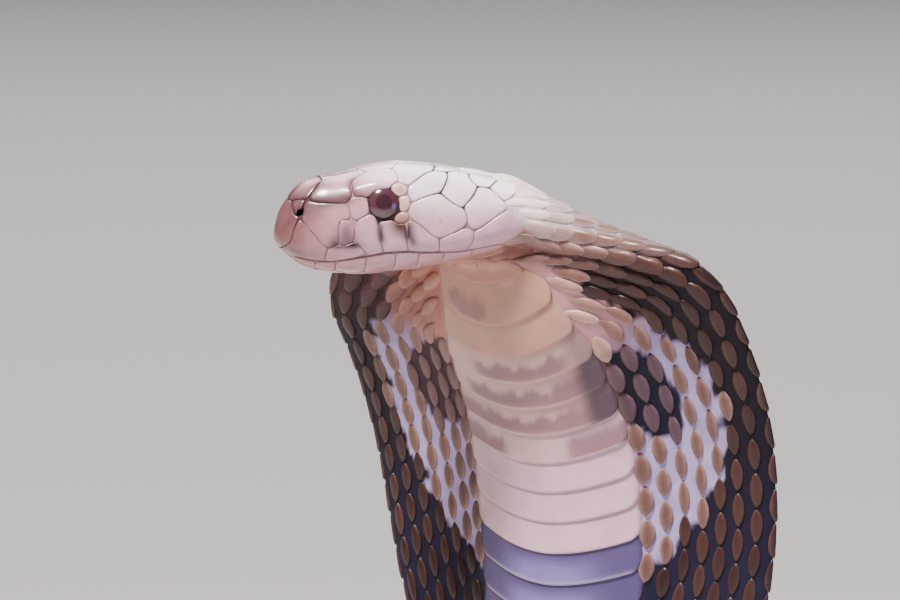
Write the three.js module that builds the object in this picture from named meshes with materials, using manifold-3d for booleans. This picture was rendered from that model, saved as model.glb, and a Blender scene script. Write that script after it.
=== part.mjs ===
// A monocled cobra, life size, reared with its hood spread and its head turned to its right,
// the rest of the body lying in one flat coil round the foot of the rise.
// Millimetres, +Z up. The hood's belly side faces -Y, the animal's left is +X.
import * as THREE from 'three';
import { mergeVertices } from 'three/addons/utils/BufferGeometryUtils.js';
import Module from 'manifold-3d';

const wasm = await Module();
wasm.setup();

// Driving dimensions
const HEAD_LENGTH = 42.2;          // snout tip to the neck joint
const JOINT = [42.63, -84.62, 300];// the neck joint, which also centres the box on the origin
const HEAD_YAW = 42;               // degrees to the animal's right of the hood's facing
const HEAD_PITCH = 7;              // degrees nose down
const NECK_BLEND = 16;             // length over which the head's section turns into the hood's
const BODY_LENGTH = 1338;          // neck joint to tail tip
const VENT = 1130;                 // neck joint to vent
const HOOD_EDGE = 2.6;             // half thickness of the hood's lobes near their edges
const STRIP_CORE = [0.42, 0.36];   // width of the thick middle, belly and back, as a part of the half width
const GAP = 0.3;                   // between neighbouring lengths
const SINK = 0.6;                  // how far the belly is pressed flat on the floor
const FLOOR_FROM = 300;            // along the spine, where the body comes down to the floor
const SCUTE_RISE = 0.5;            // step at the free edge of a belly plate
const SCUTE_PITCH = 6.4;           // belly plates on the reared length
const SCUTE_PITCH_COIL = 16;       // belly plates on the coil, each standing for three
const EYE = { d: 22.7, z: 7.4, y: 8.43, r: 3.1, out: 1.5 };
const NOSTRIL = { d: 38.1, z: 8.0, r: 0.85 };
const COIL = { x: -28.4, y: 92, r: 34, grow: 10.6, turn: 640, wide: 1.1, deep: 0.93 };
const HIDE = 0.18;                 // half the gap of the mouth's line
const BROW = { d: 23.4, angle: 46, long: 4, wide: 9, out: 0.75 };
const SHIELD = { rise: 0.3, seam: 0.3, bevel: 0.25, root: 0.8, edge: 4.6 };

// the spine's control points from the neck joint down to the floor, relative to the joint
const RISE = [[0, 0, 0], [2.7, 3.0, 0.2], [1.1, 5.3, -2.6], [0.9, 4.1, -6.8], [1.0, 4.6, -11.5],
  [1.5, 7.1, -17], [2.3, 10.8, -23.5], [3.0, 14.3, -31], [3.7, 17.5, -40], [4.3, 20.1, -53],
  [4.5, 21.1, -74], [4.2, 19.7, -105], [4.8, 22.4, -140], [6.7, 31.6, -180], [8.4, 39.5, -215],
  [8.6, 44, -243], [8.8, 60, -268], [9, 80, -281]];

// Tables along the body: distance from the joint, value
const HALF_WIDTH = [[0, 15], [3, 19], [6, 26.5], [9, 31.5], [12, 35.5], [16, 39.8], [22, 44.2], [30, 46.5],
  [48, 46.8], [65, 45.8], [82, 43.2], [98, 38], [114, 31], [130, 24], [146, 18.4], [165, 15.4], [190, 14.8],
  [240, 16.2], [300, 17.6], [420, 18.4], [650, 19.2], [850, 18.2], [1020, 15], [1130, 11], [1180, 9], [1250, 6.5],
  [1300, 3.9], [1338, 0.7]];
const BELLY = [[0, 8], [12, 9], [30, 10.5], [60, 10.5], [115, 10], [145, 11], [180, 12.8], [240, 14.8], [300, 16],
  [420, 16.5], [650, 17.4], [850, 16.4], [1020, 13.6], [1130, 10.4], [1180, 8.5], [1250, 6.1],
  [1300, 3.8], [1338, 0.7]];
const BACK = [[0, 9], [6, 10], [14, 9], [30, 8], [60, 8], [115, 8.5], [145, 10], [180, 12.5], [240, 14.6], [300, 16],
  [420, 16.5], [650, 17.6], [850, 16.6], [1020, 13.8], [1130, 10.4], [1180, 8.5], [1250, 6.1],
  [1300, 3.8], [1338, 0.7]];
const SPREAD = [[0, 0], [8, 0.4], [20, 1], [98, 1], [135, 0.5], [165, 0], [1338, 0]];
const RAKE = [[0, 1], [10, 5], [16, 6], [24, 5.5], [40, 5], [90, 5], [135, 2], [165, 0], [1338, 0]];
const STRIP = [[0, 9], [16, 12], [30, 16], [60, 17.8], [90, 17], [130, 14], [165, 11.5], [300, 12.5],
  [650, 14.5], [1000, 11.5], [1130, 8.5], [1250, 5], [1338, 0.6]];
const BACKWARD = [[0, 0, 0, 1], [5, 0.25, 0.5, 0.8], [10, 0.1, 0.95, 0.35], [16, 0, 1, 0.05],
  [230, 0, 1, 0], [285, 0, 0.7, 0.7], [325, 0, 0, 1], [1338, 0, 0, 1]];

// Tables along the head: distance in front of the joint, value
const TOP = [[42.2, 2.4], [41.9, 4], [41.3, 5.6], [40.3, 7.7], [39, 9.3], [37.8, 10.6], [36.5, 11.6],
  [35, 12.3], [33, 12.7], [29.5, 12.7], [26, 13], [22.8, 13.3], [18.9, 13.3], [13.5, 12.4], [10, 11.5],
  [5.8, 10.2], [1.9, 8.8], [-1.5, 7.6], [-6, 6]];
const CHIN = [[42.2, 2.4], [41.9, 1.3], [41.3, 0.1], [40.3, -1.2], [39, -2.6], [37.5, -3.6], [35.4, -4.5],
  [31.6, -5.4], [27.7, -6.2], [24.4, -6.5], [17.5, -6.7], [11.7, -6.4], [7.2, -6], [-2, -5.4], [-6, -5]];
const CHEEK = [[42.2, 0], [41.9, 2.7], [41.3, 4.2], [40.3, 5.4], [39, 6.2], [37.8, 6.7], [36.5, 7.1],
  [35, 7.5], [33, 8], [29.5, 8.6], [26, 9.1], [22.8, 9.6], [18.9, 10.7], [13.5, 12.2], [10, 12.9],
  [5.8, 13.4], [1.9, 13.5], [-1.5, 13.2], [-6, 13.5]];
const CHEEK_LEVEL = [[42.2, 2.4], [40, 2], [37, 1.6], [30, 1.2], [22, 1], [14, 0.6], [6, 0.2], [-2, 0.6],
  [-6, 0.8]];
const SQUARENESS = [[42.2, 2], [38, 2.3], [32, 2.7], [24, 3], [18, 2.8], [10, 2.5], [0, 2.3], [-6, 2.2]];
const MOUTH = [[42.2, -0.1], [40.5, -0.4], [36.2, -1.9], [33.3, -2.4], [27.7, -2.2], [22.5, -2],
  [14.3, -3], [9, -3.5], [2.8, -3.2], [-1, -3.3], [-6, -3.3]];

// Shields of the head, left side: corners as distance in front of the joint, angle from the top.
// Those on the midline start and end at angle 0 and are closed by their mirror image.
const MIDLINE_SHIELDS = [
  [[25.4, 0], [24.7, 8], [24.4, 18], [19.7, 18], [18.6, 8], [17.5, 0]],
];
const SHIELDS = [
  [[38.8, 0.4], [38.4, 20], [36.2, 41], [35.1, 35], [34.1, 28], [32.7, 18], [32.6, 0.4]],
  [[32.6, 0.4], [32.7, 18], [34.1, 28], [35.1, 35], [36.1, 42], [34.2, 53], [29.3, 59], [28.2, 50],
    [28, 32], [26.3, 24], [24.4, 18], [24.7, 8], [25.4, 0.4]],
  [[27.8, 32], [26.2, 24], [24.4, 18], [19.7, 18], [19.4, 43], [21.5, 47.5], [24.5, 51], [27.8, 54]],
  [[17.5, 0.4], [18.6, 8], [19.7, 18], [19.3, 43], [18.1, 50], [16.3, 42], [13.9, 28], [12.2, 21],
    [11.2, 8], [10.9, 0.4]],
  [[28.9, 57], [25.6, 61], [25.7, 75], [29, 78]],
  [[20.3, 50], [18.8, 47], [18.1, 54], [18.4, 74], [18.6, 81], [20.2, 84], [20.6, 76], [20, 63]],
  [[36.2, 50], [29.5, 61], [29.2, 77], [31.3, 76], [31.5, 83], [31.4, 91], [33.8, 97], [36.9, 78],
    [37.6, 64], [37.5, 55]],
  [[17.8, 53], [15.9, 42], [13.8, 29], [12.1, 22], [9.8, 22], [11.2, 46], [12.2, 55], [15.1, 60],
    [17.8, 68]],
  [[18, 70], [16.2, 66], [12.5, 57], [10.6, 67], [8.6, 72], [8.2, 80], [9.1, 87], [13.2, 95],
    [15.8, 88], [18, 82]],
  [[9.5, 22], [5.7, 18], [6, 30], [5, 41], [7.2, 61], [8.8, 70], [10.4, 66], [12.1, 55], [11, 46]],
  [[4.7, 42], [2.6, 44], [0.6, 62], [2, 75], [4.6, 84], [7, 88], [8.1, 78], [8.3, 71], [6.8, 61]],
];
// upper lip: seams between the shields, from the lip up, then the tops of the shields between them
const UPPER_LIP = [
  [[41.2, 112], [40, 84], [38.3, 59]],
  [[34.7, 119], [33.8, 99]],
  [[26.7, 118], [27.8, 102], [29.1, 90]],
  [[23.9, 113], [24.1, 97], [24.3, 83]],
  [[19.3, 111], [19.6, 96], [19.1, 83]],
  [[13.8, 116], [13.7, 96]],
  [[8.9, 122], [7.3, 103], [7.4, 89]],
  [[-1, 119], [-1.2, 88]],
];
const UPPER_LIP_TOPS = [[[36.9, 79]], [[31.6, 97], [30.3, 95]], [[29, 79], [25.6, 76]], [[21.4, 84]],
  [[17.8, 83], [15.7, 89]], [[11.4, 90]], [[4.3, 86], [1.4, 75]]];
// lower lip: seams along the jaw; their upper ends lie on the lip, the lower ones at these angles
const LOWER_LIP = [[39.3, 140], [32.6, 150], [27.1, 156], [21.7, 158], [17.5, 160], [12.8, 158], [3, 135]];
const CHIN_SHIELDS = [[36.6, 31, 160], [30.6, 23, 163]];

const rad = Math.PI / 180;
const clamp = (x, a, b) => Math.min(b, Math.max(a, x));
const ease = (x, a, b) => {
  const t = clamp((x - a) / (b - a), 0, 1);
  return t * t * (3 - 2 * t);
};

// smooth interpolation through a table without overshoot; the values may be vectors
function curve(keys, s) {
  let i = 0;
  while (i < keys.length - 2 && s > keys[i + 1][0]) i++;
  const h = keys[i + 1][0] - keys[i][0];
  const t = clamp((s - keys[i][0]) / h, 0, 1);
  const slope = (k, j) => {
    const step = (n) => (keys[n + 1][j] - keys[n][j]) / (keys[n + 1][0] - keys[n][0]);
    if (k === 0) return step(0);
    if (k === keys.length - 1) return step(k - 1);
    const a = step(k - 1);
    const b = step(k);
    if (a * b <= 0) return 0;
    const ha = keys[k][0] - keys[k - 1][0];
    const hb = keys[k + 1][0] - keys[k][0];
    return (3 * ha + 3 * hb) / ((2 * hb + ha) / a + (hb + 2 * ha) / b);
  };
  const out = [];
  for (let j = 1; j < keys[0].length; j++) {
    out.push((2 * t ** 3 - 3 * t ** 2 + 1) * keys[i][j] + (t ** 3 - 2 * t ** 2 + t) * h * slope(i, j)
      + (-2 * t ** 3 + 3 * t ** 2) * keys[i + 1][j] + (t ** 3 - t ** 2) * h * slope(i + 1, j));
  }
  return out.length === 1 ? out[0] : out;
}

// tables of the head are read over the square root of the distance from the snout tip
const fromTip = (d) => Math.sqrt(Math.max(HEAD_LENGTH - d, 0));
const byTip = (table) => table.map(([d, v]) => [fromTip(d), v]);
const [topT, chinT, cheekT, levelT, squareT, mouthT] =
  [TOP, CHIN, CHEEK, CHEEK_LEVEL, SQUARENESS, MOUTH].map(byTip);

// The spine
const vec = (p) => new THREE.Vector3(...p);
const joint = vec(JOINT);
const forward = new THREE.Vector3(-Math.sin(HEAD_YAW * rad) * Math.cos(HEAD_PITCH * rad),
  -Math.cos(HEAD_YAW * rad) * Math.cos(HEAD_PITCH * rad), -Math.sin(HEAD_PITCH * rad));
const left = new THREE.Vector3(Math.cos(HEAD_YAW * rad), -Math.sin(HEAD_YAW * rad), 0);
const up = new THREE.Vector3().crossVectors(forward, left);

function controlPoints() {
  const points = RISE.map((p) => vec(p).add(joint));
  for (let a = 0; a < COIL.turn; a += a < 180 ? 24 : 18) {
    const r = COIL.r + COIL.grow * a * rad;
    points.push(new THREE.Vector3(joint.x + COIL.x + COIL.wide * r * Math.cos(a * rad),
      joint.y + COIL.y + COIL.deep * r * Math.sin(a * rad), 17));
  }
  const last = points.length - 1;
  points.unshift(points[0].clone().multiplyScalar(2).sub(points[1]));
  points.push(points[last + 1].clone().multiplyScalar(2).sub(points[last]));
  return points;
}

const spineTable = [];
{
  const p = controlPoints();
  const steps = 40;
  let length = 0;
  for (let i = 0; i < p.length - 3; i++) {
    for (let k = 0; k < steps; k++) {
      const t = k / steps;
      const w = [(1 - t) ** 3, 3 * t ** 3 - 6 * t ** 2 + 4, -3 * t ** 3 + 3 * t ** 2 + 3 * t + 1, t ** 3];
      const q = new THREE.Vector3();
      w.forEach((v, n) => q.addScaledVector(p[i + n], v / 6));
      if (spineTable.length) length += q.distanceTo(spineTable[spineTable.length - 1][1]);
      spineTable.push([length, q]);
    }
  }
}

function spine(s) {
  if (s <= 0) return joint.clone().addScaledVector(forward, -s);
  let a = 0;
  let b = spineTable.length - 1;
  while (b - a > 1) {
    const m = (a + b) >> 1;
    if (spineTable[m][0] > s) b = m; else a = m;
  }
  const t = clamp((s - spineTable[a][0]) / (spineTable[b][0] - spineTable[a][0]), 0, 1.5);
  const q = spineTable[a][1].clone().lerp(spineTable[b][1], t);
  q.z += (curve(BELLY, s) - SINK - q.z) * ease(s, FLOOR_FROM, FLOOR_FROM + 50);
  return q;
}

// tangent towards the tail, back direction, left direction
function frame(s) {
  const along = spine(s + 1).sub(spine(s - 1)).normalize();
  const back = vec(curve(BACKWARD, Math.max(s, 0)));
  if (s < 16) back.lerp(up, 1 - ease(s, 0, 4));
  back.addScaledVector(along, -back.dot(along)).normalize();
  return [along, back, new THREE.Vector3().crossVectors(along, back)];
}

// Surfaces: angle 0 is the middle of the back, 90 the animal's left, 180 the middle of the belly
function bodyPoint(s, angle, rise = 0) {
  const [along, back, side] = frame(s);
  const a = curve(HALF_WIDTH, s);
  const spread = curve(SPREAD, s);
  const down = Math.cos(angle) < 0;
  const u = Math.abs(Math.sin(angle));
  const core = down ? curve(BELLY, s) : curve(BACK, s);
  const edge = core * (1 - spread) + HOOD_EDGE * spread;
  const t = (edge + (core - edge) * Math.exp(-((u / STRIP_CORE[down ? 0 : 1]) ** 2.5)))
    * Math.sqrt(Math.max(0, 1 - u ** (2 + 4 * spread)));
  const reach = curve(STRIP, s) / a;
  const step = down ? rise * (1 - ease(u, reach * 0.8, reach)) : 0;
  const q = a * Math.sin(angle);
  const p = spine(s).addScaledVector(side, q).addScaledVector(back, (down ? -1 : 1) * (t + step))
    .addScaledVector(along, -curve(RAKE, s) * (Math.abs(q) / 46) ** 1.4);
  if (p.z < 0) p.z = 0;
  return p;
}

function headSection(d, angle) {
  const t = fromTip(d);
  const top = curve(topT, t);
  const chin = curve(chinT, t);
  const level = clamp(curve(levelT, t), chin + 0.3 * (top - chin), top);
  const c = Math.cos(angle);
  const s = Math.sin(angle);
  const e = 2 / (c >= 0 ? curve(squareT, t) : 2.15);
  return [curve(cheekT, t) * Math.sign(s) * Math.abs(s) ** e,
    level + (c >= 0 ? top - level : level - chin) * Math.sign(c) * Math.abs(c) ** e];
}

const place = (d, y, z) => joint.clone().addScaledVector(forward, d).addScaledVector(left, y)
  .addScaledVector(up, z);

// the brow stands out over the eye
function headPoint(d, angle) {
  const [y, z] = headSection(d, angle);
  const off = Math.abs(angle) / rad - BROW.angle;
  const out = BROW.out * Math.exp(-(((d - BROW.d) / BROW.long) ** 2) - (off / BROW.wide) ** 2);
  return place(d, y + 0.92 * out * Math.sign(angle), z + 0.38 * out);
}

// how far in front of the joint the neck begins: under the jaws it reaches forward to the throat
const neckEdge = (angle) => -1.5 + 13 * ease(-Math.cos(angle), 0.7, 1);

function skinPoint(s, angle, rise = 0) {
  if (s >= NECK_BLEND) return bodyPoint(s, angle, rise);
  const a = headPoint(neckEdge(angle), angle);
  const b = bodyPoint(NECK_BLEND, angle);
  const mb = bodyPoint(NECK_BLEND + 0.5, angle).sub(b).multiplyScalar(NECK_BLEND / 0.5);
  const c = Math.cos(angle);
  const ma = new THREE.Vector3().addScaledVector(forward, -(0.5 + 0.5 * c))
    .addScaledVector(vec([0.45, 0.5, -0.6]), 0.5 - 0.5 * c)
    .addScaledVector(left, Math.sin(angle) * 0.35).normalize()
    .multiplyScalar(a.distanceTo(b) * (0.55 + 0.45 * c) * 1.1);
  const t = clamp(s / NECK_BLEND, 0, 1);
  return a.multiplyScalar(2 * t ** 3 - 3 * t ** 2 + 1).addScaledVector(ma, t ** 3 - 2 * t ** 2 + t)
    .addScaledVector(b, -2 * t ** 3 + 3 * t ** 2).addScaledVector(mb, t ** 3 - t ** 2);
}

// Closed solids from rings of points
function loft(rings, first, last) {
  const n = rings[0].length;
  const points = rings.flat();
  const index = [];
  for (let i = 0; i < rings.length - 1; i++) {
    for (let k = 0; k < n; k++) {
      const a = i * n + k;
      const b = i * n + (k + 1) % n;
      index.push(a, b, a + n, b, b + n, a + n);
    }
  }
  const middle = (ring) => ring.reduce((m, p) => m.add(p), new THREE.Vector3()).divideScalar(n);
  points.push(first ?? middle(rings[0]), last ?? middle(rings[rings.length - 1]));
  const base = (rings.length - 1) * n;
  for (let k = 0; k < n; k++) {
    index.push(points.length - 2, (k + 1) % n, k);
    index.push(points.length - 1, base + k, base + (k + 1) % n);
  }
  const g = new THREE.BufferGeometry();
  g.setAttribute('position', new THREE.Float32BufferAttribute(points.flatMap((p) => [p.x, p.y, p.z]), 3));
  g.setIndex(index);
  return mergeVertices(g, 1e-4);
}

function solid(geometry) {
  return new wasm.Manifold(new wasm.Mesh({
    numProp: 3,
    vertProperties: new Float32Array(geometry.attributes.position.array),
    triVerts: new Uint32Array(geometry.index.array),
  }));
}

function geometryOf(body) {
  const parts = body.simplify(0.04).decompose().sort((a, b) => b.volume() - a.volume());
  const mesh = parts[0].getMesh();
  const g = new THREE.BufferGeometry();
  g.setAttribute('position', new THREE.Float32BufferAttribute(mesh.vertProperties, 3));
  g.setIndex(Array.from(mesh.triVerts));
  return g;
}

// an ellipsoid on the side of the head, its short axis along the skin's normal
function ellipsoid(centre, outward, across, out, detail) {
  const g = new THREE.SphereGeometry(1, detail, Math.round(detail * 0.6));
  g.deleteAttribute('normal');
  g.deleteAttribute('uv');
  const merged = mergeVertices(g, 1e-4);
  merged.rotateX(Math.PI / 2);
  merged.scale(across, across, out);
  merged.applyQuaternion(new THREE.Quaternion().setFromUnitVectors(new THREE.Vector3(0, 0, 1), outward));
  merged.translate(centre.x, centre.y, centre.z);
  return merged;
}

// The lengths of the body
function ringsOf(from, to, count, pitch) {
  const stops = [];
  const n = Math.max(1, Math.round((to - from) / pitch));
  for (let k = 0; k < n; k++) {
    const a = from + ((to - from) * k) / n;
    const b = from + ((to - from) * (k + 1)) / n;
    stops.push([a + (k ? 0.3 : 0), 0], [b, SCUTE_RISE * (k < n - 1 ? 1 : 0)]);
  }
  return stops.map(([s, rise]) => {
    const ring = [];
    for (let k = 0; k < count; k++) ring.push(skinPoint(s, ((k + 0.5) * 2 * Math.PI) / count, rise));
    return ring;
  });
}

function length(from, to, count, pitch) {
  return loft(ringsOf(from + GAP / 2, to - GAP / 2, count, pitch));
}

function neckAndHood(to, count) {
  const angles = Array.from({ length: count }, (_, k) => ((k + 0.5) * 2 * Math.PI) / count);
  const rings = [0, 2, 4.5, 7, 9.5, 12, 14].map((s) => angles.map((a) => skinPoint(s, a)));
  rings.push(...ringsOf(NECK_BLEND, to - GAP / 2, count, SCUTE_PITCH));
  return loft(rings, place(-1.5, 0, -4.1));
}

// everything above or below the mouth's line, short of it by part of the gap
function mouthBlock(towards) {
  const rings = [];
  for (let d = 46; d >= -8; d -= 1.5) {
    const near = curve(mouthT, fromTip(d)) - (towards * HIDE) / 2;
    const far = near + towards * 25;
    rings.push([[-25, near], [25, near], [25, far], [-25, far]].map(([y, z]) => place(d, y, z)));
  }
  if (towards > 0) rings.reverse();
  return solid(loft(rings));
}

// The head
const ROWS = [42.1, 41.8, 41.2, 40.3, 39.1, 37.7, 36, 33.8, 31, 27.5, 24, 20.5, 17, 12.5, 8, 3];

// the angle at which a section reaches a level, coming down its left side
function angleAt(d, level) {
  let a = 60 * rad;
  let b = 179 * rad;
  for (let i = 0; i < 40; i++) {
    const m = (a + b) / 2;
    if (headSection(d, m)[1] > level) a = m; else b = m;
  }
  return a;
}

function upperHead() {
  const count = 22;
  const ring = (d) => {
    const level = Math.max(curve(mouthT, fromTip(d)) + HIDE, curve(chinT, fromTip(d)) + 0.02);
    const most = angleAt(d, level);
    const points = [];
    for (let k = 0; k <= count; k++) points.push(headPoint(d, -most + (2 * most * k) / count));
    const y = headSection(d, most)[0];
    for (const f of [0.5, 0, -0.5]) points.push(place(d, y * f, level));
    return points;
  };
  return loft([...ROWS, -1.2].map(ring));
}

function lowerJaw() {
  const count = 14;
  const front = 40.6;
  const back = (angle) => neckEdge(angle) + GAP + 0.9 * ease(-Math.cos(angle), 0.3, 1);
  const ring = (t) => {
    const points = [];
    const place0 = (angle) => front + (back(angle) - front) * t;
    const level = (d) => curve(mouthT, fromTip(d)) - HIDE;
    let most = 100 * rad;
    for (let i = 0; i < 3; i++) most = angleAt(place0(most), level(place0(most)));
    for (let k = 0; k <= count; k++) {
      const a = most + ((2 * Math.PI - 2 * most) * k) / count;
      points.push(headPoint(place0(a), a));
    }
    const d = place0(most);
    const y = headSection(d, most)[0];
    for (const f of [-0.5, 0, 0.5]) points.push(place(d, y * f, level(d)));
    return points;
  };
  const rings = [0, 0.03, 0.08, 0.15, 0.24, 0.36, 0.49, 0.62, 0.75, 0.88, 1].map(ring);
  return loft(rings, undefined, place(-1.1, 0, curve(mouthT, fromTip(-1.1)) - 0.35));
}

function headNormal(d, angle) {
  const a = headPoint(d + 0.05, angle).sub(headPoint(d - 0.05, angle));
  const b = headPoint(d, angle + 0.01).sub(headPoint(d, angle - 0.01));
  return a.cross(b).normalize();
}

// a shield: its outline drawn on the skin, drawn in by half a seam, raised and rooted below it.
// Outlines are worked on in a flat chart, by length and angle or, about the snout's tip, by polar.
function shield(corners, polar) {
  const scale = 11;
  const flat = polar
    ? ([d, a]) => [4.5 * fromTip(d) * Math.cos(a * rad), 4.5 * fromTip(d) * Math.sin(a * rad)]
    : ([d, a]) => [d, a * rad * scale];
  const onHead = polar
    ? ([x, y]) => [HEAD_LENGTH - (x * x + y * y) / 4.5 ** 2, Math.atan2(y, x)]
    : ([x, y]) => [x, y / scale];
  const path = [];
  corners.forEach((corner, i) => {
    const a = flat(corner);
    const b = flat(corners[(i + 1) % corners.length]);
    const n = Math.max(1, Math.round(Math.hypot(b[0] - a[0], b[1] - a[1]) / SHIELD.edge));
    for (let k = 0; k < n; k++) path.push([a[0] + ((b[0] - a[0]) * k) / n, a[1] + ((b[1] - a[1]) * k) / n]);
  });
  const area = path.reduce((sum, p, i) => {
    const q = path[(i + 1) % path.length];
    return sum + p[0] * q[1] - q[0] * p[1];
  }, 0);
  if (area < 0) path.reverse();
  const middle = [0, 1].map((j) => path.reduce((sum, p) => sum + p[j], 0) / path.length);
  const ring = (inset, part, height) => path.map((p) => {
    const far = Math.hypot(p[0] - middle[0], p[1] - middle[1]);
    const keep = Math.max(0.15, 1 - inset / far) * part;
    const [d, a] = onHead([middle[0] + (p[0] - middle[0]) * keep, middle[1] + (p[1] - middle[1]) * keep]);
    return headPoint(d, a).addScaledVector(headNormal(d, a), height);
  });
  const [d0, a0] = onHead(middle);
  const rings = [ring(SHIELD.seam / 2, 1, -SHIELD.root),
    ring(SHIELD.seam / 2 + SHIELD.bevel, 1, SHIELD.rise), ring(SHIELD.seam / 2 + SHIELD.bevel, 0.5, SHIELD.rise)];
  const geometry = loft(rings, headPoint(d0, a0).addScaledVector(headNormal(d0, a0), -SHIELD.root),
    headPoint(d0, a0).addScaledVector(headNormal(d0, a0), SHIELD.rise));
  let body = solid(geometry);
  if (body.volume() < 0) {
    const index = geometry.index.array;
    for (let i = 0; i < index.length; i += 3) [index[i], index[i + 1]] = [index[i + 1], index[i]];
    body = solid(geometry);
  }
  return body;
}

const mirrored = (corners) => corners.map(([d, a]) => [d, -a]);
const closed = (half) => [...half, ...mirrored(half.filter(([, a]) => a > 0 && a < 180)).reverse()];

function upperShields() {
  const paired = [...SHIELDS];
  for (let i = 0; i < UPPER_LIP.length - 1; i++) {
    paired.push([...UPPER_LIP[i], ...UPPER_LIP_TOPS[i], ...[...UPPER_LIP[i + 1]].reverse()]);
  }
  const tip = [[39.1, 0], [38.7, 20], ...[...UPPER_LIP[0]].reverse(), [41.9, 150], [41.95, 180]];
  return [...paired.flatMap((c) => [shield(c), shield(mirrored(c))]),
    ...MIDLINE_SHIELDS.map((c) => shield(closed(c))), shield(closed(tip), true)];
}

function lowerShields() {
  const paired = [];
  const lip = (d) => angleAt(d, curve(mouthT, fromTip(d)) - HIDE) / rad;
  for (let i = 0; i < LOWER_LIP.length - 1; i++) {
    const [[a, low], [b, next]] = [LOWER_LIP[i], LOWER_LIP[i + 1]];
    paired.push([[a, lip(a)], [b, lip(b)], [b, next], [a, low]]);
  }
  for (const [a, b, edge] of CHIN_SHIELDS) paired.push([[a, edge], [b, edge], [b, 179], [a, 179]]);
  return paired.flatMap((c) => [shield(c), shield(mirrored(c))]);
}

const eyeAxis = (side) => new THREE.Vector3().addScaledVector(left, side * 0.97)
  .addScaledVector(up, 0.2).addScaledVector(forward, 0.12).normalize();
const eyePoint = (side) => place(EYE.d, side * EYE.y, EYE.z);

function headSolid() {
  let head = wasm.Manifold.union([solid(upperHead()), ...upperShields()]).subtract(mouthBlock(-1));
  for (const side of [1, -1]) {
    head = head.subtract(solid(ellipsoid(eyePoint(side), eyeAxis(side), EYE.r + GAP, EYE.out + GAP, 20)));
    const angle = angleAt(NOSTRIL.d, NOSTRIL.z) * side;
    const at = headPoint(NOSTRIL.d, angle);
    head = head.subtract(solid(ellipsoid(at, eyeAxis(side), NOSTRIL.r, 1.1, 10)));
  }
  return geometryOf(head);
}

function jawSolid() {
  return geometryOf(wasm.Manifold.union([solid(lowerJaw()), ...lowerShields()]).subtract(mouthBlock(1)));
}

// The animal
const cobra = new THREE.Group();
const finish = (color, roughness) => new THREE.MeshStandardMaterial({ color, roughness, metalness: 0 });
const pale = finish('#d9c2bd', 0.45);
const throat = finish('#b98e84', 0.5);
const dark = finish('#3a2a2c', 0.5);
const eyes = finish('#24161a', 0.08);

function add(name, geometry, material) {
  const mesh = new THREE.Mesh(geometry, material);
  mesh.name = name;
  cobra.add(mesh);
}

add('head', headSolid(), pale);
add('lower_jaw', jawSolid(), pale);
add('eye_left', ellipsoid(eyePoint(1), eyeAxis(1), EYE.r, EYE.out, 16), eyes);
add('eye_right', ellipsoid(eyePoint(-1), eyeAxis(-1), EYE.r, EYE.out, 16), eyes);
add('hood_upper', neckAndHood(100, 28), throat);
add('hood_lower', length(100, 190, 26, SCUTE_PITCH), dark);
add('rise', length(190, 255, 18, SCUTE_PITCH), dark);
add('foot', length(255, 320, 18, SCUTE_PITCH), dark);

const CUTS = [320, 383, 452, 540, 655, 787, 935, 1097];
for (let i = 0; i < CUTS.length - 1; i++) {
  add(`coil_${i + 1}`, length(CUTS[i], CUTS[i + 1], 18, SCUTE_PITCH_COIL), dark);
}
add('tail', length(CUTS[CUTS.length - 1], BODY_LENGTH, 14, SCUTE_PITCH_COIL), dark);

export default cobra;
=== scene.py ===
import math

import bpy
import numpy as np
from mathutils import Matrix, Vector


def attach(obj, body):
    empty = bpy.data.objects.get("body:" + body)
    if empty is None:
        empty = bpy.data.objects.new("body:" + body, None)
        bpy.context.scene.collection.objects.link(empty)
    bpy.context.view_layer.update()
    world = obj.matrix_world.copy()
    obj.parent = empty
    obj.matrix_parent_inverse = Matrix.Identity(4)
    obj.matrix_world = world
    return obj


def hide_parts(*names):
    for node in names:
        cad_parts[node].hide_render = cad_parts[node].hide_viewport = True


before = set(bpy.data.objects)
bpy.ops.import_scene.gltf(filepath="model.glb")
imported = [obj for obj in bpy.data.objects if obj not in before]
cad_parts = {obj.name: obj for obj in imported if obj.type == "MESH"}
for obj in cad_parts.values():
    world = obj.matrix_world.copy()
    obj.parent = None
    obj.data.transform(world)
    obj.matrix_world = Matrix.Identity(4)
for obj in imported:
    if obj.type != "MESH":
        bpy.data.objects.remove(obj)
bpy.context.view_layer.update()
bpy.ops.object.select_all(action="DESELECT")

# Skin
# The whole body from snout to tail tip is one sheet of bare skin, thin and matt, that shows
# between the scales of the spread hood. It is one closed tube round the spine, as in the solids.
HEAD_LENGTH = 42.2
JOINT = np.array([42.63, -84.62, 300.0])
HEAD_YAW = math.radians(42)
HEAD_PITCH = math.radians(7)
NECK_BLEND = 16.0
BODY_LENGTH = 1338.0
HOOD_EDGE = 2.6
STRIP_CORE = (0.42, 0.36)
SINK = 0.6
FLOOR_FROM = 300.0
COIL = {"x": -28.4, "y": 92, "r": 34, "grow": 10.6, "turn": 640, "wide": 1.1, "deep": 0.93,
        "level": 17.0, "first_step": 24, "step": 18}
SPINE_STEPS = 40
RISE = [(0, 0, 0), (2.7, 3.0, 0.2), (1.1, 5.3, -2.6), (0.9, 4.1, -6.8), (1.0, 4.6, -11.5),
        (1.5, 7.1, -17), (2.3, 10.8, -23.5), (3.0, 14.3, -31), (3.7, 17.5, -40),
        (4.3, 20.1, -53), (4.5, 21.1, -74), (4.2, 19.7, -105), (4.8, 22.4, -140),
        (6.7, 31.6, -180), (8.4, 39.5, -215), (8.6, 44, -243), (8.8, 60, -268), (9, 80, -281)]


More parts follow.
